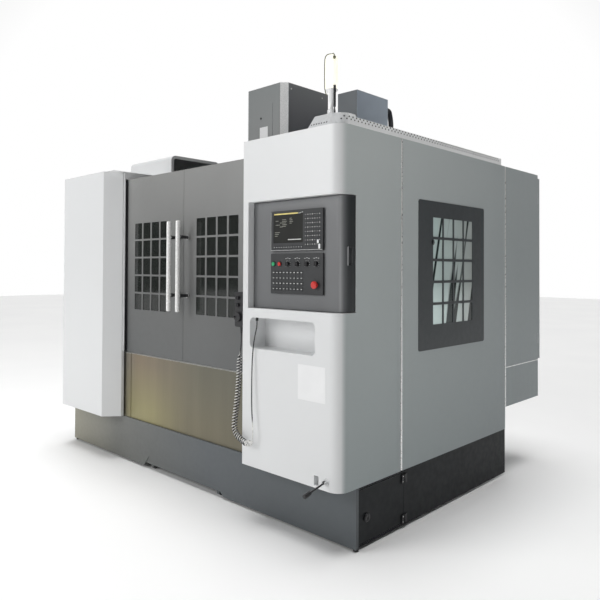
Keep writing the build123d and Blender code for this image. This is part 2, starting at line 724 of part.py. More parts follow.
def make_spindle():
    """Turned spindle with its taper bore and drive keys."""
    top = HEAD_TOP - 40
    profile = [
        (0, NOSE_Z + TAPER_LENGTH), (TAPER_RADIUS * 0.57, NOSE_Z + TAPER_LENGTH),
        (TAPER_RADIUS, NOSE_Z), (NOSE_RADIUS, NOSE_Z), (NOSE_RADIUS, NOSE_Z + 13),
        (SPINDLE_RADIUS, NOSE_Z + 13), (SPINDLE_RADIUS, top), (0, top),
    ]
    body = Pos(0, SPINDLE_Y, 0) * revolve(Plane.XZ * outline(profile), axis=Axis.Z)
    for side in (-1, 1):
        body += block(side * 33 - 8, side * 33 + 8, SPINDLE_Y - 8, SPINDLE_Y + 8, NOSE_Z - 8, NOSE_Z)
    return body


# Telescopic covers over the bed

def way_cover(step, y0, y1, lip_at_front):
    """One roof-shaped plate; a higher step slides over the one below."""
    rise = COVER_STEP * step
    half = COVER_HALF + rise
    roof = COVER_ROOF + rise
    points = [(half, COVER_SKIRT), (half, roof - 20), (0, roof), (-half, roof - 20), (-half, COVER_SKIRT)]
    body = prism_y(folded(points), y0, y1)
    if step:
        ends = (y0, y0 + WIPER) if lip_at_front else (y1 - WIPER, y1)
        body += prism_y(folded(points, COVER_STEP - RUNNING_GAP), *ends)
    return body


def cover_ends():
    """Front and rear ends of the saddle at rest."""
    return SPINDLE_Y - SADDLE_DEPTH / 2, SPINDLE_Y + SADDLE_DEPTH / 2


def make_fixed_covers():
    front = way_cover(0, DOOR_FACE + SHEET, DOOR_FACE + SHEET + WAY_COVER_LENGTH, True)
    rear = way_cover(0, COLUMN_FRONT - 40, COLUMN_FRONT - 40 + REAR_COVER_LENGTH, False)
    upright = z_cover(0, Z_COVER_BOTTOM, (Z_COVER_FACE, Z_COVER_FACE + SHEET))
    return [front, rear, upright]


def make_moving_covers():
    front_end, rear_end = cover_ends()
    fixed_front = DOOR_FACE + SHEET
    fixed_rear = COLUMN_FRONT - 40
    front_y = (fixed_front + front_end - WAY_COVER_LENGTH) / 2
    rear_y = (fixed_rear + rear_end) / 2
    parts["front_way_cover"] = way_cover(1, front_y, front_y + WAY_COVER_LENGTH, True)
    parts["rear_way_cover"] = way_cover(1, rear_y, rear_y + REAR_COVER_LENGTH, False)
    z0 = (Z_COVER_BOTTOM + PLATE_BOTTOM - Z_COVER_LENGTH) / 2
    face = Z_COVER_FACE - COVER_STEP
    parts["z_way_cover"] = z_cover(1, z0, (face, face + SHEET))


def saddle_covers():
    front_end, rear_end = cover_ends()
    front = way_cover(2, front_end - WAY_COVER_LENGTH, front_end, True)
    rear = way_cover(2, rear_end, rear_end + REAR_COVER_LENGTH, False)
    return front + rear


# Enclosure

def make_chip_tray():
    """Right-hand chip tray: a folded sheet that slopes down to the bed."""
    edge = HALF - FLANGE
    section = folded([
        (edge, 570), (edge, 450), (BED_HALF + 60, 390), (BED_HALF, 390), (BED_HALF, 500),
    ], -SHEET)
    return prism_y(section, 210, COLUMN_FRONT - 55)


def make_left_cover():
    plan = outline([
        (-HALF, 0), (LEFT_FACE_END, 0), (LEFT_JAMB, LEFT_BEVEL_DEPTH),
        (LEFT_JAMB, COVER_DEPTH), (-HALF, COVER_DEPTH),
    ], {0: CORNER_RADIUS})
    body = shell(plan, PANEL_BOTTOM, PANEL_TOP)
    return body + mirrored(side_wrap(COVER_DEPTH - 1))


def cabinet_plan():
    return outline([
        (CABINET_LEFT, 0), (HALF, 0), (HALF, COVER_DEPTH), (CABINET_LEFT, COVER_DEPTH),
    ], {1: CORNER_RADIUS})


def make_control_cabinet():
    plan = cabinet_plan()
    body = shell(plan, PANEL_BOTTOM, PANEL_TOP)
    low = PANEL_RECESS_BOTTOM
    high = PANEL_RECESS_TOP
    for z0 in (low - SHEET, high):
        body += prism_z(plan, z0, z0 + SHEET)
    edge = PANEL_RECESS_LEFT
    body += block(edge - SHEET, edge, 1, COVER_DEPTH - 1, low - SHEET, high + SHEET)
    body -= block(edge, HALF + 1, -1, PANEL_RECESS_SIDE, low, high)
    body += side_wrap(COVER_DEPTH - 1)
    wall = SHEET
    body += rounded_box(POCKET_LEFT - wall, POCKET_RIGHT + wall, 1, POCKET_DEPTH + wall,
                        POCKET_BOTTOM - wall, POCKET_TOP + wall, POCKET_RADIUS + wall)
    body -= rounded_box(POCKET_LEFT, POCKET_RIGHT, -1, POCKET_DEPTH,
                        POCKET_BOTTOM, POCKET_TOP, POCKET_RADIUS)
    right = HALF - NOTCH_INSET
    left = right - NOTCH_WIDTH
    body += block(left - wall, right + wall, 1, NOTCH_DEPTH + wall, NOTCH_BOTTOM - wall, NOTCH_TOP + wall)
    body -= block(left, right, -1, NOTCH_DEPTH, NOTCH_BOTTOM, NOTCH_TOP)
    right = PENDANT_LEFT + PENDANT_WIDTH
    body += block(right, CABINET_LEFT, 12, 38, PENDANT_BOTTOM + 60, PENDANT_BOTTOM + 170)
    body += rod_y(20, LEVER_X, -4, 0, LEVER_Z)
    for side in (-1, 1):
        x = LEVER_X + side * 10
        body += block(x - 2.5, x + 2.5, LEVER_PIVOT_Y - 8, 0, LEVER_Z - 8, LEVER_Z + 8)
    body += rod_x(4, LEVER_X - 11, LEVER_X + 11, LEVER_PIVOT_Y, LEVER_Z)
    return body


def make_lever():
    """Valve lever in its own frame, pointing to the front."""
    droop = math.radians(LEVER_DROOP)
    end_radius = LEVER_KNOB_RADIUS - LEVER_KNOB_CHAMFER
    tip = (LEVER_LENGTH - end_radius * math.sin(droop)) / math.cos(droop)
    lever = rod_x(8, -7.2, 7.2, 0, 0) - rod_x(4 + SHAFT_CLEARANCE, -8, 8, 0, 0)
    lever += rod_y(LEVER_ROD_RADIUS, 0, -tip + 20, -6, 0)
    knob = rod_y(LEVER_KNOB_RADIUS, 0, -tip, -tip + 46, 0)
    lever += chamfer(knob.edges().filter_by(GeomType.CIRCLE), LEVER_KNOB_CHAMFER)
    return Pos(LEVER_X, LEVER_PIVOT_Y, LEVER_Z) * Rot(LEVER_DROOP, 0, 0) * lever


def make_apron():
    section = folded([
        (200, APRON_TOP), (DOOR_FACE, APRON_TOP), (DOOR_FACE, SKIRT_TOP), (200, SKIRT_TOP),
    ])
    left = LEFT_JAMB - DOOR_OVERLAP
    body = prism_x(section, left, CABINET_LEFT + DOOR_OVERLAP)
    edge = LEFT_JAMB + 2
    strip = block(edge, edge + APRON_STRIP, DOOR_FACE - 4, DOOR_FACE, PANEL_BOTTOM, APRON_TOP)
    return body + strip


def make_side_panel():
    front = WRAP_DEPTH + SEAM
    section = folded([
        (HALF - FLANGE, front), (HALF, front), (HALF, PANEL_REAR), (HALF - FLANGE, PANEL_REAR),
    ], bend=SEAM_RADIUS)
    body = prism_z(section, PANEL_BOTTOM, PANEL_TOP)
    body += foot_flange(front + SEAM_RADIUS, PANEL_REAR - SEAM_RADIUS)
    body += top_flange(front + SEAM_RADIUS, PANEL_REAR - SEAM_RADIUS)
    margin = 14
    y1 = SIDE_CELL_Y + CELL_COLUMNS * (SIDE_CELL_WIDTH + SIDE_CELL_BAR) - SIDE_CELL_BAR
    z1 = SIDE_CELL_Z + CELL_ROWS * (SIDE_CELL_HEIGHT + SIDE_CELL_BAR) - SIDE_CELL_BAR
    opening = rect(SIDE_CELL_Y - margin, y1 + margin, SIDE_CELL_Z - margin, z1 + margin, 8)
    pane = rect(SIDE_CELL_Y - margin + 2, y1 + margin - 2, SIDE_CELL_Z - margin + 2, z1 + margin - 2, 6)
    return body - prism_x(opening, INNER - 1, HALF + 1), prism_x(pane, HALF - GLASS, HALF)


def make_side_frame():
    plate = rect(SIDE_FRAME_FRONT, SIDE_FRAME_REAR, SIDE_FRAME_BOTTOM, SIDE_FRAME_TOP, 14)
    body = prism_x(plate, HALF, HALF + SHEET)
    for cell in cell_grid(SIDE_CELL_Y, SIDE_CELL_Z, SIDE_CELL_WIDTH, SIDE_CELL_HEIGHT,
                          SIDE_CELL_BAR, SIDE_CELL_BAR, CELL_RADIUS):
        body -= prism_x(cell, HALF - 1, HALF + SHEET + 1)
    return body


def make_rear_panel():
    edge = outline([
        (INNER, SKIRT_TOP), (INNER, PANEL_TOP), (COLUMN_HALF, PANEL_TOP),
        (COLUMN_HALF, COLUMN_SHOULDER), (COLUMN_LEG, COLUMN_KNEE), (BED_FOOT_HALF, COLUMN_KNEE),
        (BED_FOOT_HALF, SKIRT_TOP),
    ])
    return prism_y(edge, PANEL_REAR, PANEL_REAR + SHEET)


def make_roof_covers():
    """Roof sheets over the side bays; the right one has an upright lip and the lamp's plinth."""
    plan = outline([
        (RIGHT_ROOF_INNER, ROOF_FRONT), (HALF, ROOF_FRONT), (HALF, ROOF_REAR),
        (RIGHT_ROOF_INNER, ROOF_REAR),
    ], {1: CORNER_RADIUS - ROOF_FRONT})
    top = PANEL_TOP + LIP_HEIGHT
    lip = prism_z(plan - offset(plan, amount=-SHEET), PANEL_TOP, top)
    lip += prism_z(plan - offset(plan, amount=-LIP_RETURN), top - SHEET, top)
    lip &= block(HALF - CORNER_RADIUS, HALF + 1, 0, ROOF_REAR - SHEET, PANEL_TOP, top)
    right = prism_z(plan, PANEL_TOP, PANEL_TOP + SHEET) + lip + make_plinth()
    left = block(ROOF_INSET - HALF, LEFT_JAMB, ROOF_FRONT, ROOF_REAR, PANEL_TOP, PANEL_TOP + SHEET)
    left -= block(MAG_COVER_LEFT + 6, LEFT_JAMB + 1, MAG_COVER_FRONT + 6, MAG_COVER_REAR - 6,
                  PANEL_TOP - 1, PANEL_TOP + SHEET + 1)
    return [right, left]


def make_plinth():
    """Faceted foot of the lamp, on the corner of the roof."""
    left = HALF - PLINTH_LEFT
    right = HALF - ROOF_INSET
    front = PLINTH_FRONT
    rear = front + PLINTH_DEPTH
    low = Polygon((left, front), (right - 80, front), (right - 25, front + 27), (right, front + 82),
                  (right, rear), (left, rear), align=None)
    left += PLINTH_SLANT
    right -= PLINTH_SLANT
    front += PLINTH_SLANT + 9
    rear -= PLINTH_SLANT
    high = Polygon((left, front), (right - 66, front), (right - 26, front + 18), (right, front + 55),
                   (right, rear), (left, rear), align=None)
    low_face = Pos(0, 0, PANEL_TOP) * low
    high_face = Pos(0, 0, PANEL_TOP + PLINTH_HEIGHT) * high
    return loft([low_face.face(), high_face.face()], ruled=True)


def make_magazine_cover():
    base = PANEL_TOP + SHEET
    section = rect(MAG_COVER_FRONT, MAG_COVER_REAR, base - 100, MAG_COVER_TOP, MAG_COVER_RADIUS)
    section &= rect(MAG_COVER_FRONT, MAG_COVER_REAR, base, MAG_COVER_TOP)
    body = prism_x(section, MAG_COVER_LEFT, MAG_COVER_RIGHT)
    inner = rect(MAG_COVER_FRONT + SHEET, MAG_COVER_REAR - SHEET, base - 100,
                 MAG_COVER_TOP - SHEET, MAG_COVER_RADIUS - SHEET)
    body -= prism_x(inner, MAG_COVER_LEFT + SHEET, MAG_COVER_RIGHT - SHEET)
    rim = MAG_COVER_RIM
    mouth = rect(MAG_COVER_FRONT + rim, MAG_COVER_REAR - rim, base - 100,
                 MAG_COVER_TOP - rim, MAG_COVER_RADIUS - rim)
    return body - prism_x(mouth, MAG_COVER_RIGHT - SHEET - 1, MAG_COVER_RIGHT + 1)


def make_door_rails():
    base = DOOR_FACE + 6
    section = outline([
        (base, APRON_TOP), (base + 44, APRON_TOP), (base + 44, APRON_TOP + SHEET),
        (base + 18, APRON_TOP + SHEET), (base + 18, RAIL_TOP), (base + 10, RAIL_TOP),
        (base + 10, APRON_TOP + SHEET), (base, APRON_TOP + SHEET),
    ])
    lower = prism_x(section, -INNER, INNER)
    beam = rect(DOOR_FACE + 46, DOOR_FACE + 96, GUIDE_BOTTOM + 10, GUIDE_TOP + 16)
    beam -= offset(beam, amount=-SHEET, kind=Kind.INTERSECTION)
    upper = prism_x(beam, -INNER, INNER)
    upper += block(-INNER, INNER, DOOR_FACE + 18, DOOR_FACE + 46, GUIDE_TOP - 4, GUIDE_TOP)
    upper += block(-INNER, INNER, DOOR_FACE + 18, DOOR_FACE + 24, GUIDE_BOTTOM, GUIDE_TOP)
    return [lower, upper]


# Doors

def make_door(x0, x1, window_x):
    """Folded door leaf with a grid of window cells and its running gear."""
    y0 = DOOR_FACE
    y1 = DOOR_FACE + DOOR_THICKNESS
    body = block(x0, x1, y0, y0 + SHEET, DOOR_BOTTOM, DOOR_TOP)
    body += block(x0, x1, y0, y1, DOOR_TOP - SHEET, DOOR_TOP)
    for x in (x0, x1 - SHEET):
        body += block(x, x + SHEET, y0, y1, DOOR_BOTTOM, DOOR_TOP)
    body -= block(x0 - 1, x1 + 1, y0 + 8, y1 + 1, DOOR_BOTTOM - 1, RAIL_TOP + 6)
    body -= block(x0 - 1, x1 + 1, y0 + 14, y1 + 1, GUIDE_BOTTOM - 10, GUIDE_TOP + 8)
    for cell in cell_grid(window_x, WINDOW_BOTTOM, CELL_WIDTH, CELL_HEIGHT,
                          CELL_BAR_X, CELL_BAR_Z, CELL_RADIUS):
        body -= prism_y(cell, y0 - 1, y0 + SHEET + 1)
    axle_z = RAIL_TOP + RUNNING_GAP + ROLLER_RADIUS
    middle = DOOR_FACE + 20
    for x in (x0 + 90, x1 - 90):
        body += rod_y(6, x, y0 + SHEET, middle + 10, axle_z)
        body += rod_y(ROLLER_RADIUS, x, middle - ROLLER_WIDTH / 2, middle + ROLLER_WIDTH / 2, axle_z)
        shoe = block(x - 30, x + 30, y0 + SHEET, y0 + 30, GUIDE_BOTTOM - 40, GUIDE_BOTTOM + 40)
        shoe -= block(x - 31, x + 31, y0 + 18 - RUNNING_GAP, y0 + 24 + RUNNING_GAP,
                      GUIDE_BOTTOM - RUNNING_GAP, GUIDE_BOTTOM + 41)
        body += shoe
    return body


def make_glass(window_x):
    margin = 12
    height = CELL_ROWS * (CELL_HEIGHT + CELL_BAR_Z) - CELL_BAR_Z
    y0 = DOOR_FACE + SHEET
    return block(window_x - margin, window_x + WINDOW_WIDTH + margin, y0, y0 + GLASS,
                 WINDOW_BOTTOM - margin, WINDOW_BOTTOM + height + margin)


def make_handle(x):
    axis_y = DOOR_FACE - HANDLE_REACH
    bar = rod_z(HANDLE_RADIUS, x, axis_y, HANDLE_BOTTOM, HANDLE_TOP)
    bar = chamfer(bar.edges().filter_by(GeomType.CIRCLE), 2)
    for z in (HANDLE_BOTTOM + 109, HANDLE_TOP - 109):
        bar += rod_y(9, x, axis_y, DOOR_FACE, z)
        bar += rod_y(16, x, DOOR_FACE - 6, DOOR_FACE, z)
    return bar


# Operator panel

def make_housing():
    """Operator housing that wraps round the cabinet's corner."""
    left = PANEL_RECESS_LEFT + RUNNING_GAP
    back = COVER_DEPTH - SHEET
    side = HALF - SHEET - 1
    plan = outline([
        (left, HOUSING_FACE), (side, HOUSING_FACE),
        (side, back), (left, back),
    ], {1: CORNER_RADIUS - 14})
    body = shell(plan, PANEL_RECESS_BOTTOM + HOUSING_GAP, PANEL_RECESS_TOP - HOUSING_GAP)
    for x, z, radius, depth in control_holes():
        body -= rod_y(radius, x, HOUSING_FACE - 1, HOUSING_FACE + depth, z)
    port = rect(70, 108, 1486, 1586, 6)
    body += prism_x(port, side - 16, side)
    body -= prism_x(rect(74, 104, 1490, 1582, 4), side - 13, side + 1)
    body += prism_x(rect(80, 98, 1496, 1576, 3), side - 14, side - 7)
    return body


def control_holes():
    """Holes behind the machine panel: x, z, radius and depth of each."""
    return [
        (START_X, KNOB_ROW, BUTTON_RADIUS + RUNNING_GAP, SHEET + 1),
        (STOP_X, KNOB_ROW, BUTTON_RADIUS + RUNNING_GAP, SHEET + 1),
        (STOP_KNOB_X, STOP_KNOB_Z, 12 + RUNNING_GAP, SHEET + 1),
    ]


def make_operator_panels():
    face = HOUSING_FACE
    x0 = DISPLAY_LEFT
    x1 = x0 + DISPLAY_WIDTH
    z0 = DISPLAY_BOTTOM
    z1 = z0 + DISPLAY_HEIGHT
    front = face - DISPLAY_PROUD
    display = rounded_box(x0, x1, front, face, z0, z1, 6)
    screen = rect(x0 + 24, x0 + 252, z0 + 44, z1 - 12, 4)
    display -= prism_y(screen, front - 1, front + 3)
    for column in range(7):
        for row in range(8):
            x = x0 + 266 + column * 17
            z = z1 - 30 - row * 23
            display += block(x, x + 14, front - 1.5, front, z - 8, z + 8)
    for column in range(12):
        x = x0 + 26 + column * 19
        display += block(x, x + 15, front - 1.5, front, z0 + 14, z0 + 28)
    front = face - KEY_PANEL_PROUD
    panel = rounded_box(x0 + 2, x1, front, face, KEY_PANEL_BOTTOM, KEY_PANEL_TOP, 5)
    for x, z, radius, depth in control_holes():
        panel -= rod_y(radius, x, front - 1, face + 1, z)
    for knob_offset in KNOB_OFFSETS:
        panel -= rod_y(KNOB_SHAFT + SHAFT_CLEARANCE, x0 + knob_offset, front - 1, face + 1, KNOB_ROW)
    for column in range(9):
        for row in range(4):
            x = x0 + 16 + column * 27
            z = KEY_PANEL_BOTTOM + 18 + row * 30
            panel += block(x, x + 20, front - 2, front, z, z + 20)
    return [display, panel]


def panel_front():
    return HOUSING_FACE - KEY_PANEL_PROUD


def make_button(x):
    front = panel_front()
    rear = HOUSING_FACE - 1 - BUTTON_TRAVEL
    button = rod_y(BUTTON_RADIUS, x, front - BUTTON_LENGTH, rear, KNOB_ROW)
    return chamfer(button.edges().group_by(Axis.Y)[0], 1.5)


def make_knob(x):
    front = panel_front()
    knob = rod_y(KNOB_RADIUS, x, front - KNOB_LENGTH, front - RUNNING_GAP, KNOB_ROW)
    knob = chamfer(knob.edges().group_by(Axis.Y)[0], 2)
    knob += block(x - 2.5, x + 2.5, front - KNOB_LENGTH - 3, front - 6, KNOB_ROW - 10, KNOB_ROW + 12)
    return knob + rod_y(KNOB_SHAFT, x, front - RUNNING_GAP - 1, HOUSING_FACE, KNOB_ROW)


def make_emergency_stop():
    rear = HOUSING_FACE - 1 - STOP_KNOB_TRAVEL
    profile = outline([
        (0, 0), (12, 0), (12, 14), (STOP_KNOB_RADIUS, 18), (STOP_KNOB_RADIUS, 26),
        (STOP_KNOB_RADIUS - 6, 31), (0, 31),
    ])
    knob = revolve(Plane.XZ * profile, axis=Axis.Z)
    return Pos(STOP_KNOB_X, rear, STOP_KNOB_Z) * Rot(90, 0, 0) * knob


# Pendant and cord

def beside_cabinet(points):
    """A route whose points are given from the control cabinet's left edge."""
    return [(CABINET_LEFT + x, y, z) for x, y, z in points]


UPPER_ROUTE = beside_cabinet([
    (-41, 25, PENDANT_BOTTOM - RELIEF_LENGTH), (-41, 25, 1048), (-44, 24.5, 1012), (-49, 23.5, 977),
])
CURL_ROUTE = beside_cabinet([
    (-49, 23.5, 977), (-52, 21, 898), (-51, 16, 815), (-48, 7, 733), (-46, -6, 655),
    (-44, -19, 587), (-37, -28, 535), (-8, -34, 503), (40, -38, 484), (90, -40, 470),
    (123, -39, 485), (132, -38, 515),
])
LOWER_ROUTE = beside_cabinet([
    (132, -38, 515), (133, -37, 541), (126, -34, 592), (116, -30, 655), (110, -27, 735),
    (107, -24, 815), (105, -21, 895), (105, -18, 970), (108, -12, 1040), (106, 2, 1095),
    (101, 20, 1135), (101, 20, POCKET_TOP - GLAND_LENGTH),
])


def route_radii(route):
    """Largest arcs that the runs beside each corner allow."""
    points = [Vector(*point) for point in route]
    radii = []
    for before, corner, after in zip(points, points[1:], points[2:]):
        turn = math.radians((corner - before).get_angle(after - corner))
        run = min((corner - before).length, (after - corner).length)
        radii.append(0.45 * run / math.tan(turn / 2))
    return radii


def cord_tube(name, route, diameter):
    radii = route_radii(route)
    path = FilletPolyline(*route, radius=radii)
    start = Plane(origin=path @ 0, z_dir=path % 0)
    tube = sweep(start * Circle(diameter / 2), path=path)
    ideal = math.pi * diameter ** 2 / 4 * path.length
    print(name, "length", round(path.length), "least radius", round(min(radii)),
          "volume ratio", round(tube.volume / ideal, 4))
    return tube


def make_pendant():
    x0 = PENDANT_LEFT
    x1 = x0 + PENDANT_WIDTH
    z0 = PENDANT_BOTTOM
    body = rounded_box(x0, x1, 0, PENDANT_DEPTH, z0, z0 + PENDANT_HEIGHT, PENDANT_RADIUS)
    body = chamfer(body.faces().sort_by(Axis.Y)[0].edges(), 3)
    centre_x = (x0 + x1) / 2
    body -= rod_y(4 + SHAFT_CLEARANCE, centre_x, -1, 12, z0 + 60)
    for z in (z0 + 130, z0 + 172):
        body += rod_y(12, centre_x, -14, 0, z)
        body += block(centre_x - 2, centre_x + 2, -17, -10, z - 8, z + 11)
    relief = Pos(centre_x, PENDANT_DEPTH / 2, z0 - RELIEF_LENGTH / 2) * Cone(5.5, 9, RELIEF_LENGTH)
    return body + relief


def make_handwheel():
    centre_x = PENDANT_LEFT + PENDANT_WIDTH / 2
    z = PENDANT_BOTTOM + 60
    wheel = rod_y(WHEEL_RADIUS, centre_x, -14, -2, z)
    wheel = chamfer(wheel.edges().group_by(Axis.Y)[0], 2)
    wheel += rod_y(4, centre_x, -3, 11, z)
    return wheel + rod_y(5, centre_x - 17, -26, -13, z)


def make_gland():
    x, y, z = LOWER_ROUTE[-1]
    return rod_z(GLAND_RADIUS, x, y, z, POCKET_TOP)


# Electrical cabinet

def make_electrical_cabinet():
    front = PANEL_REAR + SHEET
    back = ECAB_REAR
    middle = ECAB_DOOR_BOTTOM + 6
    high = PANEL_TOP - 40
    outer = outline([(ECAB_LEFT, front), (HALF, front), (HALF, back), (ECAB_LEFT, back)], {1: SEAM_RADIUS})
    inner = offset(outer, amount=-SHEET, kind=Kind.INTERSECTION)
    mouth = rect(ECAB_LEFT + SHEET, INNER, front + SEAM_RADIUS, back + 1)
    body = prism_z(outer, ECAB_BOTTOM, PANEL_TOP)
    body -= prism_z(inner + mouth, middle, high)
    body -= prism_z(inner, ECAB_BOTTOM + SHEET, middle - SHEET)
    plate = front + 40
    body += block(ECAB_LEFT + 60, INNER - 60, plate, plate + SHEET, middle, high)
    body += block(ECAB_LEFT + 100, ECAB_LEFT + 160, front + SHEET, plate, middle, high)
    pitch = (HALF - ECAB_LEFT - 230) / 5
    for index in range(4):
        x = ECAB_LEFT + 110 + index * pitch
        body += block(x, x + pitch - 40, plate + SHEET, plate + 220, middle + 778, middle + 1148)
    x = ECAB_LEFT + 120
    body += block(x, x + 2 * pitch, plate + SHEET, plate + 200, middle + 78, middle + 318)
    x = HALF - 460
    body += block(x, x + 200, plate + SHEET, plate + 110, middle + 398, middle + 618)
    x = HALF - ECAB_HINGE_RADIUS + 2.5
    for z in (ECAB_DOOR_BOTTOM + 160, ECAB_DOOR_TOP - 160):
        body += block(x - 2, x + ECAB_HINGE_RADIUS, back - 6, back + 4, z, z + 40)
        body += rod_z(ECAB_HINGE_RADIUS, x, back + ECAB_HINGE_RADIUS, z, z + 40)
        body += rod_z(1.5, x, back + ECAB_HINGE_RADIUS, z - 30, z + 5)
    return body


def make_electrical_door():
    x0 = ECAB_LEFT + 6
    x1 = HALF - 8
    y0 = ECAB_REAR + RUNNING_GAP
    y1 = ECAB_REAR + ECAB_DOOR_DEPTH
    body = block(x0, x1, y0, y1, ECAB_DOOR_BOTTOM, ECAB_DOOR_TOP)
    body -= block(x0 + SHEET, x1 - SHEET, y0 - 1, y1 - SHEET, ECAB_DOOR_BOTTOM + SHEET, ECAB_DOOR_TOP - SHEET)
    for z_base in (900, 1850):
        for row in range(7):
            z = z_base + row * 24
            slot = rect(x0 + 150, x0 + 400, z, z + 8, 3.9)
            body -= prism_y(slot, y1 - SHEET - 1, y1 + 1)
    body += rounded_box(x0 + 30, x0 + 60, y1, y1 + 14, 1380, 1560, 10)
    body += rounded_box(SWITCH_X - 40, SWITCH_X + 40, y1, y1 + 5, SWITCH_Z - 40, SWITCH_Z + 40, 8)
    body -= rod_y(4 + SHAFT_CLEARANCE, SWITCH_X, y1 - 10, y1 + 10, SWITCH_Z)
    x = HALF - ECAB_HINGE_RADIUS + 2.5
    y = ECAB_REAR + ECAB_HINGE_RADIUS
    for z in (ECAB_DOOR_BOTTOM + 160, ECAB_DOOR_TOP - 160):
        low = z - 40
        high = z - RUNNING_GAP
        body += block(x1 - 1, x, y, y + 3.5, low, high)
        body += rod_z(ECAB_HINGE_RADIUS, x, y, low, high)
        body -= rod_z(1.5 + SHAFT_CLEARANCE, x, y, low, high)
    return body


def make_main_switch():
    y1 = ECAB_REAR + ECAB_DOOR_DEPTH
    knob = rod_y(SWITCH_RADIUS, SWITCH_X, y1 + 5 + RUNNING_GAP, y1 + 16, SWITCH_Z)
    knob += rod_y(4, SWITCH_X, y1 - 6, y1 + 8, SWITCH_Z)
    grip = rounded_box(SWITCH_X - 7, SWITCH_X + 7, y1 + 15, y1 + SWITCH_PROUD,
                       SWITCH_Z - 22, SWITCH_Z + 28, 6)
    return knob + grip


# Lamp and cable conduit

def make_lamp():
    base = PANEL_TOP + PLINTH_HEIGHT
    pole = rod_z(LAMP_POLE_RADIUS, LAMP_X, LAMP_Y, base, base + LAMP_POLE_HEIGHT)
    pole += rod_z(LAMP_POLE_RADIUS + 8, LAMP_X, LAMP_Y, base, base + 8)
    top = base + LAMP_POLE_HEIGHT
    lens = rod_z(LENS_RADIUS, LAMP_X, LAMP_Y, top, top + LENS_HEIGHT)
    lens = fillet(lens.edges().group_by(Axis.Z)[-1], 12)
    return pole, lens


def make_conduit():
    """Conduit from the column cap down and round to the electrical cabinet."""
    x = HOSE_X
    far = CAP_REAR + HOSE_BOW
    near = CAP_REAR + HOSE_RADIUS + 4
    high = CAP_TOP - HOSE_DROP
    low = HOSE_ENTRY_Z
    entry = ECAB_REAR - 80
    route = [
        (x, CAP_REAR, high), (x, CAP_REAR + 48, high), (x, far, high - 90),
        (x, far, high - 200), (x, near, high - 330), (x, near, low),
        (COLUMN_HALF + 30, near, low), (COLUMN_HALF + 110, entry, low), (ECAB_LEFT, entry, low),
    ]
    path = FilletPolyline(*route, radius=route_radii(route))
    start = Plane(origin=path @ 0, z_dir=path % 0)
    return sweep(start * Circle(HOSE_RADIUS), path=path)


# Tool changer

def make_magazine():
    """Drum plate with its ring of tool pots."""
    x0 = DRUM_FACE
    plate = rod_x(POT_CIRCLE + POT_RADIUS - 6, x0, x0 + DRUM_THICKNESS, DRUM_Y, DRUM_Z)
    for index in range(6):
        angle = math.radians(60 * index)
        y = DRUM_Y + 130 * math.cos(angle)
        z = DRUM_Z + 130 * math.sin(angle)
        plate -= rod_x(42, x0 - 1, x0 + DRUM_THICKNESS + 1, y, z)
    plate += rod_x(60, x0 - 30, x0 + DRUM_THICKNESS + 6, DRUM_Y, DRUM_Z)
    flange = HOLDER_FLANGE
    profile = outline([
        (0, 0), (POT_RADIUS, 0), (POT_RADIUS, POT_LENGTH), (24, POT_LENGTH), (24, POT_LENGTH + 3),
        (flange, POT_LENGTH + 3), (flange, POT_LENGTH + 8), (flange - 4, POT_LENGTH + 11),
        (flange, POT_LENGTH + 14), (flange, POT_LENGTH + 19), (22, POT_LENGTH + 19),
        (22, POT_LENGTH + HOLDER_REACH - 12), (19, POT_LENGTH + HOLDER_REACH), (0, POT_LENGTH + HOLDER_REACH),
    ])
    holder = Rot(0, -90, 0) * revolve(Plane.XZ * profile, axis=Axis.Z)
    for index in range(POT_COUNT):
        angle = 2 * math.pi * index / POT_COUNT
        y = DRUM_Y + POT_CIRCLE * math.cos(angle)
        z = DRUM_Z + POT_CIRCLE * math.sin(angle)
        plate += Pos(x0, y, z) * holder
    bore = rod_x(25 + SHAFT_CLEARANCE, x0 - 40, x0 + 40, DRUM_Y, DRUM_Z)
    return plate - bore


def make_changer_frame():
    """Beam from the column to the drum, with the cam gearbox on it."""
    lateral = block(BEAM_LEFT, -COLUMN_HALF + 66, COLUMN_FRONT - 100, COLUMN_FRONT, BEAM_BOTTOM, BEAM_TOP)
    forward = block(BEAM_LEFT, BEAM_RIGHT, 700, COLUMN_FRONT, BEAM_BOTTOM, BEAM_TOP)
    body = lateral + forward
    body += rod_x(25, DRUM_FACE - 28, BEAM_LEFT + 1, DRUM_Y, DRUM_Z)
    gearbox = rect(BEAM_RIGHT, ARM_X + 85, ARM_Y - 90, ARM_Y + 90)
    gearbox = fillet(gearbox.vertices().group_by(Axis.X)[-1], 50)
    body += prism_z(gearbox, GEARBOX_BOTTOM, BEAM_TOP - 20)
    body += rod_z(55, ARM_X, ARM_Y, GEARBOX_BOTTOM - 30, GEARBOX_BOTTOM)
    body += rod_z(60, ARM_X - 120, ARM_Y, BEAM_TOP - 20, BEAM_TOP + 180)
    return body - rod_z(ARM_SHAFT_RADIUS + SHAFT_CLEARANCE, ARM_X, ARM_Y, GEARBOX_BOTTOM - 31, BEAM_TOP - 60)


def make_arm_shaft():
    return rod_z(ARM_SHAFT_RADIUS, ARM_X, ARM_Y, ARM_TOP - ARM_THICKNESS - 4, GEARBOX_BOTTOM + 160)


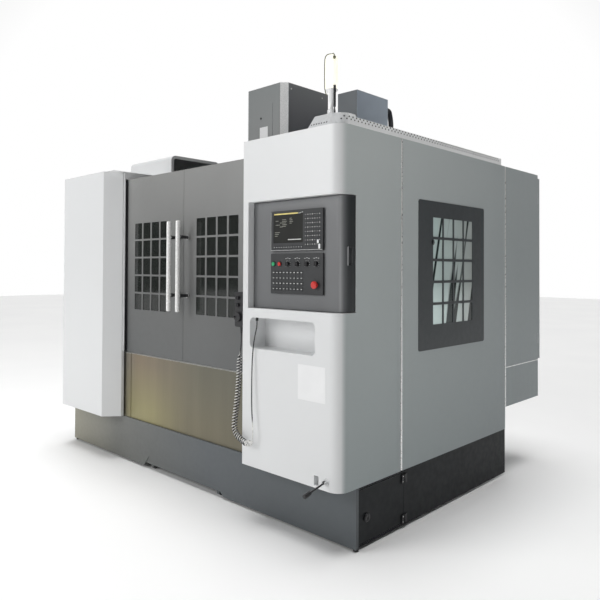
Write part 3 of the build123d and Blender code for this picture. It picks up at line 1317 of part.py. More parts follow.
def make_tool_arm():
    """Double-ended arm with a hooked gripper at each end."""
    blade = Pos(0, 0) * SlotOverall(2 * ARM_HALF_LENGTH + 80, 74)
    hub = Circle(62)
    arm = extrude(blade + hub, amount=ARM_THICKNESS)
    for side in (-1, 1):
        x = side * ARM_HALF_LENGTH
        arm -= Pos(x, 0, ARM_THICKNESS / 2) * Cylinder(GRIP_RADIUS, ARM_THICKNESS + 2)
        arm -= Pos(x, side * 40, ARM_THICKNESS / 2) * Box(2 * GRIP_RADIUS - 6, 80, ARM_THICKNESS + 2)
    arm -= Pos(0, 0, ARM_THICKNESS / 2) * Cylinder(ARM_SHAFT_RADIUS + SHAFT_CLEARANCE, ARM_THICKNESS + 2)
    return Pos(ARM_X, ARM_Y, ARM_TOP - ARM_THICKNESS) * Rot(0, 0, 90) * arm


def build_all():
    parts["front_skirt"] = make_front_skirt()
    side_skirt = make_side_skirt()
    parts["side_skirts"] = [side_skirt - hatch_opening(), mirrored(side_skirt)]
    parts["base_hatch"] = make_hatch()
    parts["hatch_hinges"] = make_hatch_hinges()
    parts["coolant_tank"] = make_tank()
    parts["levelling_pads"] = make_pads()
    parts["bed"] = make_bed()
    parts["column"] = make_column()
    parts["column_cap"] = make_cap()
    parts["cable_conduit"] = make_conduit()
    tray = make_chip_tray()
    parts["chip_trays"] = [tray, mirrored(tray)]
    parts["left_cover"] = make_left_cover()
    parts["control_cabinet"] = make_control_cabinet()
    parts["front_apron"] = make_apron()
    panel, pane = make_side_panel()
    rear = make_rear_panel()
    frame = make_side_frame()
    parts["enclosure_panels"] = [panel, mirrored(panel), rear, mirrored(rear)]
    parts["side_window_frames"] = [frame, mirrored(frame)]
    parts["side_window_panes"] = [pane, mirrored(pane)]
    parts["roof_covers"] = make_roof_covers()
    parts["magazine_cover"] = make_magazine_cover()
    parts["door_rails"] = make_door_rails()
    left = (LEFT_JAMB - DOOR_OVERLAP, DOOR_SPLIT - DOOR_GAP / 2)
    right = (DOOR_SPLIT + DOOR_GAP / 2, CABINET_LEFT + DOOR_OVERLAP)
    parts["left_door"] = make_door(*left, LEFT_WINDOW_X)
    parts["right_door"] = make_door(*right, RIGHT_WINDOW_X)
    parts["left_door_glass"] = make_glass(LEFT_WINDOW_X)
    parts["right_door_glass"] = make_glass(RIGHT_WINDOW_X)
    parts["left_door_handle"] = make_handle(DOOR_SPLIT - HANDLE_OFFSET)
    parts["right_door_handle"] = make_handle(DOOR_SPLIT + HANDLE_OFFSET)
    parts["operator_housing"] = make_housing()
    parts["operator_panels"] = make_operator_panels()
    parts["start_button"] = make_button(START_X)
    parts["stop_button"] = make_button(STOP_X)
    for name, knob_offset in zip(("mode_knob", "feed_knob", "rapid_knob", "spindle_knob"), KNOB_OFFSETS):
        parts[name] = make_knob(DISPLAY_LEFT + knob_offset)
    parts["emergency_stop"] = make_emergency_stop()
    parts["pendant"] = make_pendant()
    parts["handwheel"] = make_handwheel()
    parts["pendant_lead"] = cord_tube("pendant_lead", UPPER_ROUTE, LEAD_DIAMETER)
    parts["curly_cord"] = cord_tube("curly_cord", CURL_ROUTE, CURL_DIAMETER)
    parts["pocket_lead"] = cord_tube("pocket_lead", LOWER_ROUTE, LEAD_DIAMETER)
    parts["pocket_gland"] = make_gland()
    parts["lamp_pole"], parts["lamp_lens"] = make_lamp()
    parts["valve_lever"] = make_lever()
    parts["electrical_cabinet"] = make_electrical_cabinet()
    parts["electrical_door"] = make_electrical_door()
    parts["main_switch"] = make_main_switch()
    parts["saddle"] = make_saddle() + saddle_covers()
    parts["work_table"] = make_table()
    parts["spindle_head"] = make_head()
    parts["head_cover"] = make_head_cover()
    parts["spindle"] = make_spindle()
    parts["fixed_way_covers"] = make_fixed_covers()
    make_moving_covers()
    parts["tool_magazine"] = make_magazine()
    parts["changer_frame"] = make_changer_frame()
    parts["arm_shaft"] = make_arm_shaft()
    parts["tool_arm"] = make_tool_arm()


def export_all():
    os.makedirs("parts", exist_ok=True)
    for name, shape in parts.items():
        pieces = shape if isinstance(shape, list) else [shape]
        solids = [solid.moved(Location((0, -MIDDLE_Y, 0))) for piece in pieces for solid in piece.solids()]
        export_step(solids[0] if len(solids) == 1 else Compound(children=solids), f"parts/{name}.step")


build_all()
export_all()
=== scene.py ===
"""Looks of the vertical machining centre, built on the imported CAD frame."""
import math

import bmesh
import bpy
from mathutils import Matrix, Vector


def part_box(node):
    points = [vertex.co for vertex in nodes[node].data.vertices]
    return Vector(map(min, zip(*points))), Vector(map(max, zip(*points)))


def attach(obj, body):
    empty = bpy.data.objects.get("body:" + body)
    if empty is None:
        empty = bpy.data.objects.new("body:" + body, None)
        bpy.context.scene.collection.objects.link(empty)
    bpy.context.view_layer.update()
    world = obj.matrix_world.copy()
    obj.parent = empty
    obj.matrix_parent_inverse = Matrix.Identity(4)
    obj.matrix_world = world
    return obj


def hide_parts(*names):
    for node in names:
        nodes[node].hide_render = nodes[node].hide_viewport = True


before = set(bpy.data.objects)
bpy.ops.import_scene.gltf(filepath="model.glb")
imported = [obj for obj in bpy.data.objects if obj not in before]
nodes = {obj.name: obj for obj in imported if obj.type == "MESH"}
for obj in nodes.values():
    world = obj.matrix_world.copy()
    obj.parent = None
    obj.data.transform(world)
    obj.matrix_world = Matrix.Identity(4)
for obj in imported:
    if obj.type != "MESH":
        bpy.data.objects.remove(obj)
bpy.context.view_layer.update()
scene = bpy.context.scene

# Places in the drawing, in millimetres; its y is 0 at the cabinet's front face.
MIDDLE_Y = 1161.5
HALF = 1000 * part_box("control_cabinet")[1][0]
LEFT_JAMB = -742
JAMB_FOOT = 832
CABINET_LEFT = 798
DOOR_FACE = 150
HOUSING_FACE = 44
APRON_TOP = 817.5
PANEL_TOP = 2214
CORNER = 70
ROOF_FRONT = 30


def at(x, y, z):
    """A point of the drawing, in metres in the row frame."""
    return Vector((x / 1000, (y - MIDDLE_Y) / 1000, z / 1000))


# Materials

NOISE_LOW = 0.3
NOISE_HIGH = 0.7
FINER = 14


def new_material(name):
    material = bpy.data.materials.new(name)
    material.use_nodes = True
    tree = material.node_tree
    return material, tree, tree.nodes["Principled BSDF"]


def noise(tree, scale, detail=4.0, stretch=(1, 1, 1)):
    """Noise in object space; a low stretch draws it out along that axis."""
    coords = tree.nodes.new("ShaderNodeTexCoord")
    mapping = tree.nodes.new("ShaderNodeMapping")
    mapping.inputs["Scale"].default_value = stretch
    texture = tree.nodes.new("ShaderNodeTexNoise")
    texture.inputs["Scale"].default_value = scale
    texture.inputs["Detail"].default_value = detail
    tree.links.new(coords.outputs["Object"], mapping.inputs["Vector"])
    tree.links.new(mapping.outputs["Vector"], texture.inputs["Vector"])
    return texture.outputs["Fac"]


def stops(tree, source, colors, sharp=False):
    """Colour that changes at several places: a list of position and colour."""
    node = tree.nodes.new("ShaderNodeValToRGB")
    if sharp:
        node.color_ramp.interpolation = "CONSTANT"
    elements = node.color_ramp.elements
    while len(elements) < len(colors):
        elements.new(0.5)
    for element, (place, color) in zip(elements, colors):
        element.position = place
        element.color = (*color, 1)
    tree.links.new(source, node.inputs["Fac"])
    return node.outputs["Color"]


def ramp(tree, source, low, high, start=NOISE_LOW, end=NOISE_HIGH):
    """Turns a value into a colour between low and high."""
    return stops(tree, source, [(start, low), (end, high)])


def reach_over(tree, source, start, end, low=0.0, high=1.0):
    """Stretches the part of a value between start and end to low and high."""
    node = tree.nodes.new("ShaderNodeMapRange")
    node.inputs["From Min"].default_value = start
    node.inputs["From Max"].default_value = end
    node.inputs["To Min"].default_value = low
    node.inputs["To Max"].default_value = high
    tree.links.new(source, node.inputs["Value"])
    return node.outputs["Result"]


def spread(tree, source, low, high):
    """Turns noise into a value between low and high."""
    return reach_over(tree, source, NOISE_LOW, NOISE_HIGH, low, high)


def along(tree, axis, start, end):
    """Runs from 0 to 1 between two places on an axis of the machine."""
    coords = tree.nodes.new("ShaderNodeTexCoord")
    split = tree.nodes.new("ShaderNodeSeparateXYZ")
    tree.links.new(coords.outputs["Object"], split.inputs["Vector"])
    return reach_over(tree, split.outputs[axis], start, end)


def share_of(tree, source, direction):
    """How much of a vector goes in a direction."""
    node = tree.nodes.new("ShaderNodeVectorMath")
    node.operation = "DOT_PRODUCT"
    node.inputs[1].default_value = direction
    tree.links.new(source, node.inputs[0])
    return node.outputs["Value"]


def facing(tree, direction, start=0.0, end=1.0):
    """Runs from 0 to 1 as the surface turns towards a direction of the machine."""
    coords = tree.nodes.new("ShaderNodeTexCoord")
    turn = share_of(tree, coords.outputs["Normal"], Vector(direction).normalized())
    return reach_over(tree, turn, start, end)


def product(tree, first, second):
    node = tree.nodes.new("ShaderNodeMath")
    node.operation = "MULTIPLY"
    tree.links.new(first, node.inputs[0])
    tree.links.new(second, node.inputs[1])
    return node.outputs[0]


def blend_colors(tree, factor, first, second, mode="MIX"):
    node = tree.nodes.new("ShaderNodeMix")
    node.data_type = "RGBA"
    node.blend_type = mode
    if isinstance(factor, float):
        node.inputs[0].default_value = factor
    else:
        tree.links.new(factor, node.inputs[0])
    tree.links.new(first, node.inputs[6])
    tree.links.new(second, node.inputs[7])
    return node.outputs[2]


def drifting(tree, tone, scale, low):
    """The tone, darker by a share that drifts between low and 1."""
    drift = ramp(tree, noise(tree, scale, 3.0), (low, low, low), (1.0, 1.0, 1.0))
    return blend_colors(tree, 1.0, tone, drift, "MULTIPLY")


def bump(tree, shader, source, strength, distance):
    node = tree.nodes.new("ShaderNodeBump")
    node.inputs["Strength"].default_value = strength
    node.inputs["Distance"].default_value = distance
    tree.links.new(source, node.inputs["Height"])
    tree.links.new(node.outputs["Normal"], shader.inputs["Normal"])


def coat(tree, shader, tone, gloss_scale, low, high, grain=700.0, strength=0.35, depth=0.00006):
    """Gives the shader a tone, a gloss that varies and a fine relief."""
    tree.links.new(tone, shader.inputs["Base Color"])
    gloss = spread(tree, noise(tree, gloss_scale), low, high)
    tree.links.new(gloss, shader.inputs["Roughness"])
    bump(tree, shader, noise(tree, grain), strength, depth)


def shade(color, factor):
    return tuple(min(1.0, c * factor) for c in color)


def surface(name, color, rough=0.45, metal=0.0, vary=0.05, scale=3.0, grain=700.0,
            depth=0.00006, strength=0.35, stretch=(1, 1, 1), clear_coat=0.0, rough_vary=0.06,
            specular=0.5):
    """A solid surface: drifting tone, uneven gloss and fine relief."""
    material, tree, shader = new_material(name)
    broad = noise(tree, scale, 3.0, stretch)
    fine = noise(tree, scale * FINER, 2.0, stretch)
    relief = noise(tree, grain, 2.0, stretch)
    tone = ramp(tree, broad, shade(color, 1 - vary), shade(color, 1 + vary))
    tree.links.new(tone, shader.inputs["Base Color"])
    gloss = spread(tree, fine, rough - rough_vary, rough + rough_vary)
    tree.links.new(gloss, shader.inputs["Roughness"])
    bump(tree, shader, relief, strength, depth)
    shader.inputs["Metallic"].default_value = metal
    shader.inputs["Coat Weight"].default_value = clear_coat
    shader.inputs["Coat Roughness"].default_value = 0.2
    shader.inputs["Specular IOR Level"].default_value = specular
    return material


def door_pane():
    """Dark tinted pane with smears."""
    material, tree, shader = new_material("door_glass")
    color = (0.022, 0.025, 0.023)
    smear = noise(tree, 5.0)
    tone = ramp(tree, smear, shade(color, 0.85), shade(color, 1.15))
    tree.links.new(tone, shader.inputs["Base Color"])
    tree.links.new(spread(tree, smear, 0.04, 0.09), shader.inputs["Roughness"])
    shader.inputs["Alpha"].default_value = 0.85
    return material


def side_pane():
    """Greenish pane with a painted reflection of the shop's light and of a few slanting dark beams."""
    material, tree, shader = new_material("side_glass")
    coords = tree.nodes.new("ShaderNodeTexCoord")
    lean = tree.nodes.new("ShaderNodeMapping")
    lean.inputs["Rotation"].default_value = (math.radians(14), 0, 0)
    squeeze = tree.nodes.new("ShaderNodeMapping")
    squeeze.inputs["Scale"].default_value = (1, 1, 0.05)
    beams = tree.nodes.new("ShaderNodeTexNoise")
    beams.inputs["Scale"].default_value = 11.0
    beams.inputs["Detail"].default_value = 1.0
    tree.links.new(coords.outputs["Object"], lean.inputs["Vector"])
    tree.links.new(lean.outputs["Vector"], squeeze.inputs["Vector"])
    tree.links.new(squeeze.outputs["Vector"], beams.inputs["Vector"])
    # Green tint with a painted reflection of the shop's light, paler towards the front of the pane.
    tint_and_painted_reflection = ramp(tree, along(tree, "Y", -0.29, 0.22), (0.76, 0.93, 0.90), (0.56, 0.60, 0.58), 0.0, 1.0)
    # Painted reflection of a few slanting dark beams.
    streak = ramp(tree, beams.outputs["Fac"], (1, 1, 1), (0.05, 0.06, 0.06), 0.57, 0.61)
    tone = blend_colors(tree, 1.0, tint_and_painted_reflection, streak, "MULTIPLY")
    tree.links.new(tone, shader.inputs["Base Color"])
    tree.links.new(spread(tree, noise(tree, 6.0), 0.10, 0.2), shader.inputs["Roughness"])
    shader.inputs["Metallic"].default_value = 0.25
    return material


def apron_metal():
    """Brushed stainless sheet with a painted reflection of a warm shop floor, strongest at its left end
    and changing from its foot to its top.
    """
    material, tree, shader = new_material("brushed_stainless")
    across = along(tree, "X", LEFT_JAMB / 1000, CABINET_LEFT / 1000)
    # Painted reflection of a warm shop floor: tan at the left end and greyer to the right, with one set of
    # colours at the foot and another at the top.
    low = stops(tree, across, [
        (0.0, (0.25, 0.23, 0.16)), (0.06, (0.31, 0.28, 0.145)), (0.22, (0.30, 0.27, 0.135)),
        (0.5, (0.185, 0.165, 0.108)), (1.0, (0.148, 0.137, 0.10)),
    ])
    high = stops(tree, across, [
        (0.0, (0.24, 0.225, 0.19)), (0.1, (0.25, 0.20, 0.138)), (0.35, (0.21, 0.18, 0.13)),
        (0.6, (0.155, 0.147, 0.11)), (1.0, (0.138, 0.132, 0.103)),
    ])
    tone = blend_colors(tree, along(tree, "Z", 0.42, 0.76), low, high)
    brushed = noise(tree, 9.0, 4.0, (1, 1, 0.06))
    streak = ramp(tree, brushed, (0.88, 0.88, 0.88), (1.0, 1.0, 1.0))
    tree.links.new(blend_colors(tree, 1.0, tone, streak, "MULTIPLY"), shader.inputs["Base Color"])
    grain = noise(tree, 420.0, 2.0, (1, 1, 0.02))
    tree.links.new(spread(tree, grain, 0.30, 0.46), shader.inputs["Roughness"])
    bump(tree, shader, grain, 0.3, 0.00004)
    shader.inputs["Metallic"].default_value = 0.45
    return material


def head_paint():
    """Grey coat with bare speckled strips on the slanted corners; painted light and shade make the front
    darker towards the top and the right side darker towards its foot.
    """
    material, tree, shader = new_material("head_cover_coat")
    height = along(tree, "Z", 2.25, 2.9)
    strip = stops(tree, facing(tree, (0, -1, 0)), [
        (0.0, (0, 0, 0)), (0.5, (1, 1, 1)), (0.9, (0, 0, 0)),
    ], True)
    # Painted light and shade: the front and the right side are lit and shaded copies of one grey coat,
    # each graded with height.
    front = stops(tree, height, [(0.0, (0.295, 0.30, 0.30)), (1.0, (0.212, 0.228, 0.228))])
    side = stops(tree, height, [
        (0.0, (0.155, 0.155, 0.165)), (0.6, (0.21, 0.215, 0.23)), (1.0, (0.29, 0.30, 0.31)),
    ])
    plain = blend_colors(tree, facing(tree, (1, 0, 0), 0.80, 0.97), front, side)
    speckle = ramp(tree, noise(tree, 260.0, 3.0), (0.78, 0.79, 0.79), (1.0, 1.0, 1.0), 0.4, 0.62)
    coat(tree, shader, blend_colors(tree, strip, plain, speckle), 30.0, 0.36, 0.48)
    return material


def base_paint():
    """Slate coat with a painted warm reflection of the shop at its left end."""
    material, tree, shader = new_material("base_slate_coat")
    # Painted reflection of the shop: warm at the left end, fading to plain slate.
    tone = stops(tree, along(tree, "X", -1.5, 1.5), [
        (0.0, (0.28, 0.27, 0.215)), (0.22, (0.145, 0.148, 0.136)), (0.6, (0.095, 0.107, 0.116)),
        (1.0, (0.088, 0.10, 0.108)),
    ])
    coat(tree, shader, drifting(tree, tone, 2.5, 0.93), 30.0, 0.40, 0.52, 650.0, 0.4, 0.00008)
    return material


def white_paint():
    """White coat with painted shade on the machine's right side, deeper towards the foot and the rear."""
    material, tree, shader = new_material("white_powder_coat")
    plain = ramp(tree, noise(tree, 1.2, 3.0), (0.72, 0.73, 0.735), (0.735, 0.745, 0.75))
    # Painted shade for the right side: darker towards the foot and towards the rear.
    upright = stops(tree, along(tree, "Z", 0.35, 2.1), [
        (0.0, (0.33, 0.375, 0.38)), (1.0, (0.58, 0.62, 0.615)),
    ])
    painted_rear_shade = stops(tree, along(tree, "Y", -0.9, 0.9), [
        (0.0, (1, 1, 1)), (1.0, (0.75, 0.76, 0.775)),
    ])
    shaded = blend_colors(tree, 1.0, upright, painted_rear_shade, "MULTIPLY")
    side = product(tree, facing(tree, (1, 0, 0), 0.80, 0.97), along(tree, "X", 1.45, 1.50))
    coat(tree, shader, blend_colors(tree, side, plain, shaded), 24.0, 0.36, 0.46)
    shader.inputs["Coat Weight"].default_value = 0.1
    shader.inputs["Coat Roughness"].default_value = 0.2
    return material


def lip_paint():
    """Coat of the roof's edge, greyer on the faces to the front."""
    material, tree, shader = new_material("roof_edge_coat")
    pale = ramp(tree, noise(tree, 2.0, 3.0), (0.92, 0.925, 0.925), (0.98, 0.985, 0.985))
    front = ramp(tree, noise(tree, 40.0, 3.0), (0.52, 0.53, 0.54), (0.60, 0.61, 0.615))
    tone = blend_colors(tree, facing(tree, (0, -1, 0), 0.2, 0.7), pale, front)
    coat(tree, shader, tone, 28.0, 0.49, 0.61)
    shader.inputs["Specular IOR Level"].default_value = 0.3
    return material


def panel_paint():
    """Grey coat of the panel housing, with painted light on its left bevel, a painted highlight on its
    rounded corner and painted shade on its side.
    """
    material, tree, shader = new_material("panel_grey_coat")
    # Painted light and shade by the way the surface faces: pale on the left bevel, a pale band for the
    # corner's highlight, dark on the side.
    tone = stops(tree, facing(tree, (1, 0, 0), -1.0, 1.0), [
        (0.0, (0.215, 0.22, 0.225)), (0.35, (0.20, 0.205, 0.21)), (0.47, (0.150, 0.155, 0.160)),
        (0.58, (0.156, 0.160, 0.165)), (0.68, (0.25, 0.255, 0.26)), (0.82, (0.105, 0.11, 0.115)),
        (0.95, (0.042, 0.046, 0.049)), (1.0, (0.027, 0.031, 0.033)),
    ])
    coat(tree, shader, drifting(tree, tone, 2.0, 0.94), 24.0, 0.32, 0.42, 1100.0)
    return material


def door_paint():
    """Grey coat with painted light: paler towards the top, as a painted reflection of the lights."""
    material, tree, shader = new_material("door_grey_coat")
    # Painted reflection of the lights, growing towards the top of the doors.
    tone = stops(tree, along(tree, "Z", 0.83, 2.15), [
        (0.0, (0.112, 0.117, 0.117)), (0.35, (0.142, 0.145, 0.144)), (1.0, (0.262, 0.264, 0.259)),
    ])
    coat(tree, shader, drifting(tree, tone, 1.6, 0.90), 24.0, 0.36, 0.46)
    return material


def cap_paint():
    """Glossy grey coat with a painted reflection of the windows, which makes the sides facing +x paler."""
    material, tree, shader = new_material("cap_coat")
    plain = ramp(tree, noise(tree, 2.0, 3.0), (0.142, 0.158, 0.172), (0.178, 0.198, 0.214))
    # Painted reflection of the windows, used on the sides facing +x.
    pale = ramp(tree, noise(tree, 2.0, 3.0), (0.46, 0.52, 0.60), (0.53, 0.60, 0.68))
    tone = blend_colors(tree, facing(tree, (1, 0, 0), 0.45, 0.75), plain, pale)
    coat(tree, shader, tone, 30.0, 0.32, 0.42)
    return material


def cord_sheath():
    """Dark glossy sheath with painted highlights on the faces of its turns towards the front, the left and
    the top; its tail is pale.
    """
    material, tree, shader = new_material("cord_sheath")
    dark = ramp(tree, noise(tree, 60.0), (0.018, 0.019, 0.021), (0.030, 0.031, 0.033))
    pale = ramp(tree, noise(tree, 90.0), (0.62, 0.62, 0.60), (0.95, 0.94, 0.91))
    # Painted highlight on the faces of the turns towards the front, the left and the top.
    turns_with_painted_highlights = blend_colors(tree, facing(tree, (-0.3, -0.75, 0.55), 0.45, 0.62), dark, pale)
    tail = blend_colors(tree, along(tree, "Z", 0.62, 0.59), dark, pale)
    turns = product(tree, along(tree, "X", 0.885, 0.875), along(tree, "Z", 0.985, 0.965))
    tone = blend_colors(tree, turns, tail, turns_with_painted_highlights)
    coat(tree, shader, tone, 200.0, 0.22, 0.34, 2500.0, 0.2, 0.00003)
    shader.inputs["Coat Weight"].default_value = 0.5
    shader.inputs["Coat Roughness"].default_value = 0.12
    return material


def conduit_sheath():
    """Black corrugated tube; the ribs run round its upright stretch."""
    material, tree, shader = new_material("conduit_sheath")
    coords = tree.nodes.new("ShaderNodeTexCoord")
    wave = tree.nodes.new("ShaderNodeTexWave")
    wave.bands_direction = "Z"
    wave.inputs["Scale"].default_value = 32.0
    wave.inputs["Distortion"].default_value = 0.0
    tree.links.new(coords.outputs["Object"], wave.inputs["Vector"])
    ribs = wave.outputs["Fac"]
    tone = ramp(tree, ribs, (0.012, 0.013, 0.018), (0.035, 0.037, 0.047), 0.2, 0.8)
    tree.links.new(tone, shader.inputs["Base Color"])
    bump(tree, shader, ribs, 0.9, 0.004)
    shader.inputs["Roughness"].default_value = 0.32
    return material


def lamp_plastic():
    """Cream tube with a painted dark rim where its surface turns away from view, as thick clear plastic
    looks.
    """
    material, tree, shader = new_material("lens_moulding")
    rim = tree.nodes.new("ShaderNodeLayerWeight")
    rim.inputs["Blend"].default_value = 0.25
    body = ramp(tree, noise(tree, 18.0), (0.95, 0.94, 0.80), (0.97, 0.96, 0.90))
    edge = ramp(tree, noise(tree, 40.0), (0.50, 0.48, 0.36), (0.62, 0.60, 0.48))
    # Painted shade: the rim is darkened where the surface turns away from view.
    thick = spread(tree, rim.outputs["Facing"], 0.0, 0.5)
    tree.links.new(blend_colors(tree, thick, body, edge), shader.inputs["Base Color"])
    tree.links.new(spread(tree, noise(tree, 30.0), 0.16, 0.24), shader.inputs["Roughness"])
    shader.inputs["Emission Color"].default_value = (1.0, 0.96, 0.82, 1)
    shader.inputs["Emission Strength"].default_value = 0.6
    return material


WHITE = white_paint()
DOOR = door_paint()
BASE = base_paint()
# Dark slate; on the side skirts and the base hatch its darkness is partly painted shade of the machine's
# right side.
DARK = surface("dark_slate_coat", (0.017, 0.019, 0.021), 0.5, vary=0.08, scale=2.0, specular=0.2)
FRAME = surface("window_frame_coat", (0.066, 0.073, 0.077), 0.42, vary=0.06, scale=2.0, specular=0.3)
PANEL = panel_paint()
STAINLESS = apron_metal()
SHEET = surface("satin_sheet_steel", (0.50, 0.50, 0.49), 0.38, 1.0, 0.08, 2.0, 300.0, 0.00004, 0.4)
IRON = surface("casting_paint", (0.30, 0.315, 0.31), 0.5, vary=0.06, scale=4.0, grain=260.0,
               depth=0.0004)
GROUND = surface("ground_steel", (0.60, 0.60, 0.60), 0.22, 1.0, 0.05, 6.0, 900.0, 0.00002, 0.4,
                 (0.2, 1, 1))
BRIGHT = surface("bright_bar", (0.94, 0.94, 0.93), 0.26, 0.1, 0.02, 6.0, 600.0, 0.00001, 0.1,
                 rough_vary=0.04)
# Bright metal for the seam beads, which stand in for the highlight along the seams.
SEAM_GLINT = surface("bright_seam_glint", (0.96, 0.96, 0.95), 0.30, 0.9, 0.02, 6.0)
WIRE = surface("lamp_guard_wire", (0.16, 0.16, 0.10), 0.4, vary=0.1, scale=40.0)
BLACK = surface("black_moulding", (0.016, 0.016, 0.018), 0.42, vary=0.12, scale=12.0, grain=1800.0)
SCREEN_FRAME = surface("display_moulding", (0.045, 0.047, 0.049), 0.45, vary=0.1, scale=8.0,
                       specular=0.25)
SCREEN = surface("screen_glass", (0.026, 0.027, 0.025), 0.5, vary=0.10, scale=9.0, specular=0.12)
PRINT = surface("pale_print", (0.62, 0.63, 0.62), 0.5, vary=0.10, scale=60.0, grain=2500.0)
FAINT = surface("faint_print", (0.22, 0.22, 0.19), 0.5, vary=0.20, scale=80.0, grain=2500.0)
YELLOW = surface("yellow_print", (0.86, 0.72, 0.24), 0.4, vary=0.12, scale=30.0, grain=2500.0)
GREEN = surface("green_moulding", (0.03, 0.42, 0.17), 0.28, vary=0.06, scale=30.0, clear_coat=0.3)
RED = surface("red_moulding", (0.62, 0.035, 0.03), 0.28, vary=0.06, scale=30.0, clear_coat=0.3)
LENS = lamp_plastic()
CORD = cord_sheath()
CORRUGATED = conduit_sheath()
HEAD = head_paint()
CAP = cap_paint()
LIP = lip_paint()
PLATE = surface("blank_plate", (0.84, 0.845, 0.85), 0.34, vary=0.02, scale=8.0, clear_coat=0.2)
DOOR_GLASS = door_pane()
SIDE_GLASS = side_pane()

node_materials = {
    # The side skirts and the hatch take the darker slate, partly as painted shade; the front skirt takes
    # the slate coat.
    "front_skirt": BASE, "side_skirts": DARK, "base_hatch": DARK, "hatch_hinges": BLACK,
    "coolant_tank": BASE, "levelling_pads": IRON, "bed": IRON, "column": IRON,
    "column_cap": CAP, "cable_conduit": CORRUGATED, "chip_trays": SHEET, "left_cover": WHITE,
    "control_cabinet": WHITE, "front_apron": STAINLESS, "enclosure_panels": WHITE,
    "side_window_frames": FRAME, "side_window_panes": SIDE_GLASS, "roof_covers": LIP,
    "magazine_cover": WHITE, "door_rails": SHEET, "left_door": DOOR, "right_door": DOOR,
    "left_door_glass": DOOR_GLASS, "right_door_glass": DOOR_GLASS, "left_door_handle": BRIGHT,
    "right_door_handle": BRIGHT, "operator_housing": PANEL, "operator_panels": SCREEN_FRAME,
    "start_button": GREEN, "stop_button": RED, "mode_knob": BLACK, "feed_knob": BLACK,
    "rapid_knob": BLACK, "spindle_knob": BLACK, "emergency_stop": RED, "pendant": BLACK,
    "handwheel": BLACK, "pendant_lead": CORD, "curly_cord": CORD, "pocket_lead": CORD,
    "pocket_gland": BLACK, "lamp_pole": PLATE, "lamp_lens": LENS, "valve_lever": BLACK,
    "electrical_cabinet": WHITE, "electrical_door": WHITE, "main_switch": RED,
    "saddle": IRON, "work_table": IRON, "spindle_head": IRON, "head_cover": HEAD,
    "spindle": GROUND, "fixed_way_covers": SHEET, "front_way_cover": SHEET,
    "rear_way_cover": SHEET, "z_way_cover": SHEET, "tool_magazine": DARK,
    "changer_frame": DOOR, "arm_shaft": GROUND, "tool_arm": GROUND,
}
for name, material in node_materials.items():
    slots = nodes[name].material_slots
    for slot in slots:
        slot.material = material
    if not slots:
        nodes[name].data.materials.append(material)


# Camera

CAMERA_PLACE = (3545.2, -2393.6, 1467)
YAW = 43.69
PITCH = -0.819
ROLL = -0.254
PICTURE_SIZE = 600
FOCAL_PIXELS = 618.73
EYE_ROW = 260.39
SENSOR_WIDTH = 36


def place_camera():
    yaw, pitch, roll = (math.radians(angle) for angle in (YAW, PITCH, ROLL))
    look = Vector((-math.sin(yaw) * math.cos(pitch), math.cos(yaw) * math.cos(pitch), -math.sin(pitch)))
    right = Vector((math.cos(yaw), math.sin(yaw), 0))
    up = right.cross(look)
    side = right * math.cos(roll) - up * math.sin(roll)
    top = up * math.cos(roll) + right * math.sin(roll)
    data = bpy.data.cameras.new("camera")
    data.sensor_width = SENSOR_WIDTH
    data.lens = FOCAL_PIXELS / PICTURE_SIZE * SENSOR_WIDTH
    data.shift_y = (EYE_ROW - PICTURE_SIZE / 2) / PICTURE_SIZE
    data.clip_end = 100
    camera = bpy.data.objects.new("camera", data)
    scene.collection.objects.link(camera)
    matrix = Matrix((side, top, -look)).transposed().to_4x4()
    matrix.translation = at(*CAMERA_PLACE)
    camera.matrix_world = matrix
    scene.camera = camera


place_camera()

# Cord from the pendant to the pocket; the points are those of the CAD route

UPPER = [(757, 25, 1085), (757, 25, 1048), (754, 24.5, 1012), (749, 23.5, 977)]
CURL = [
    (749, 23.5, 977), (746, 21, 898), (747, 16, 815), (750, 7, 733), (752, -6, 655),
    (754, -19, 587), (761, -28, 535), (790, -34, 503), (838, -38, 484), (888, -40, 470),
    (921, -39, 485), (930, -38, 515),
]
LOWER = [
    (930, -38, 515), (931, -37, 541), (924, -34, 592), (914, -30, 655), (908, -27, 735),
    (905, -24, 815), (903, -21, 895), (903, -18, 970), (906, -12, 1040), (904, 2, 1095),
    (899, 20, 1135), (899, 20, 1169),
]
CORD_DIAMETER = 0.007
CURL_RADIUS = 0.0145
CURL_PITCH = 0.017
CURL_END = 0.045
POINTS_PER_TURN = 14
STEPS_PER_TURN = 100
LONGEST_GAP = 0.006


def nurbs(name, points, radius=0.0):
    curve = bpy.data.curves.new(name, "CURVE")
    curve.dimensions = "3D"
    curve.bevel_depth = radius
    curve.bevel_resolution = 3
    curve.resolution_u = 3
    spline = curve.splines.new("NURBS")
    spline.points.add(len(points) - 1)
    for point, where in zip(spline.points, points):
        point.co = (*where, 1)
    spline.order_u = 3
    spline.use_endpoint_u = True
    obj = bpy.data.objects.new(name, curve)
    scene.collection.objects.link(obj)
    return obj


def read_line(points):
    """Points along the smooth line that these control points give."""
    obj = nurbs("guide", points)
    obj.data.resolution_u = 24
    bpy.context.view_layer.update()
    mesh = bpy.data.meshes.new_from_object(obj)
    line = [vertex.co.copy() for vertex in mesh.vertices]
    bpy.data.objects.remove(obj)
    bpy.data.meshes.remove(mesh)
    return line


def eased(share):
    share = max(0.0, min(1.0, share))
    return share * share * (3 - 2 * share)


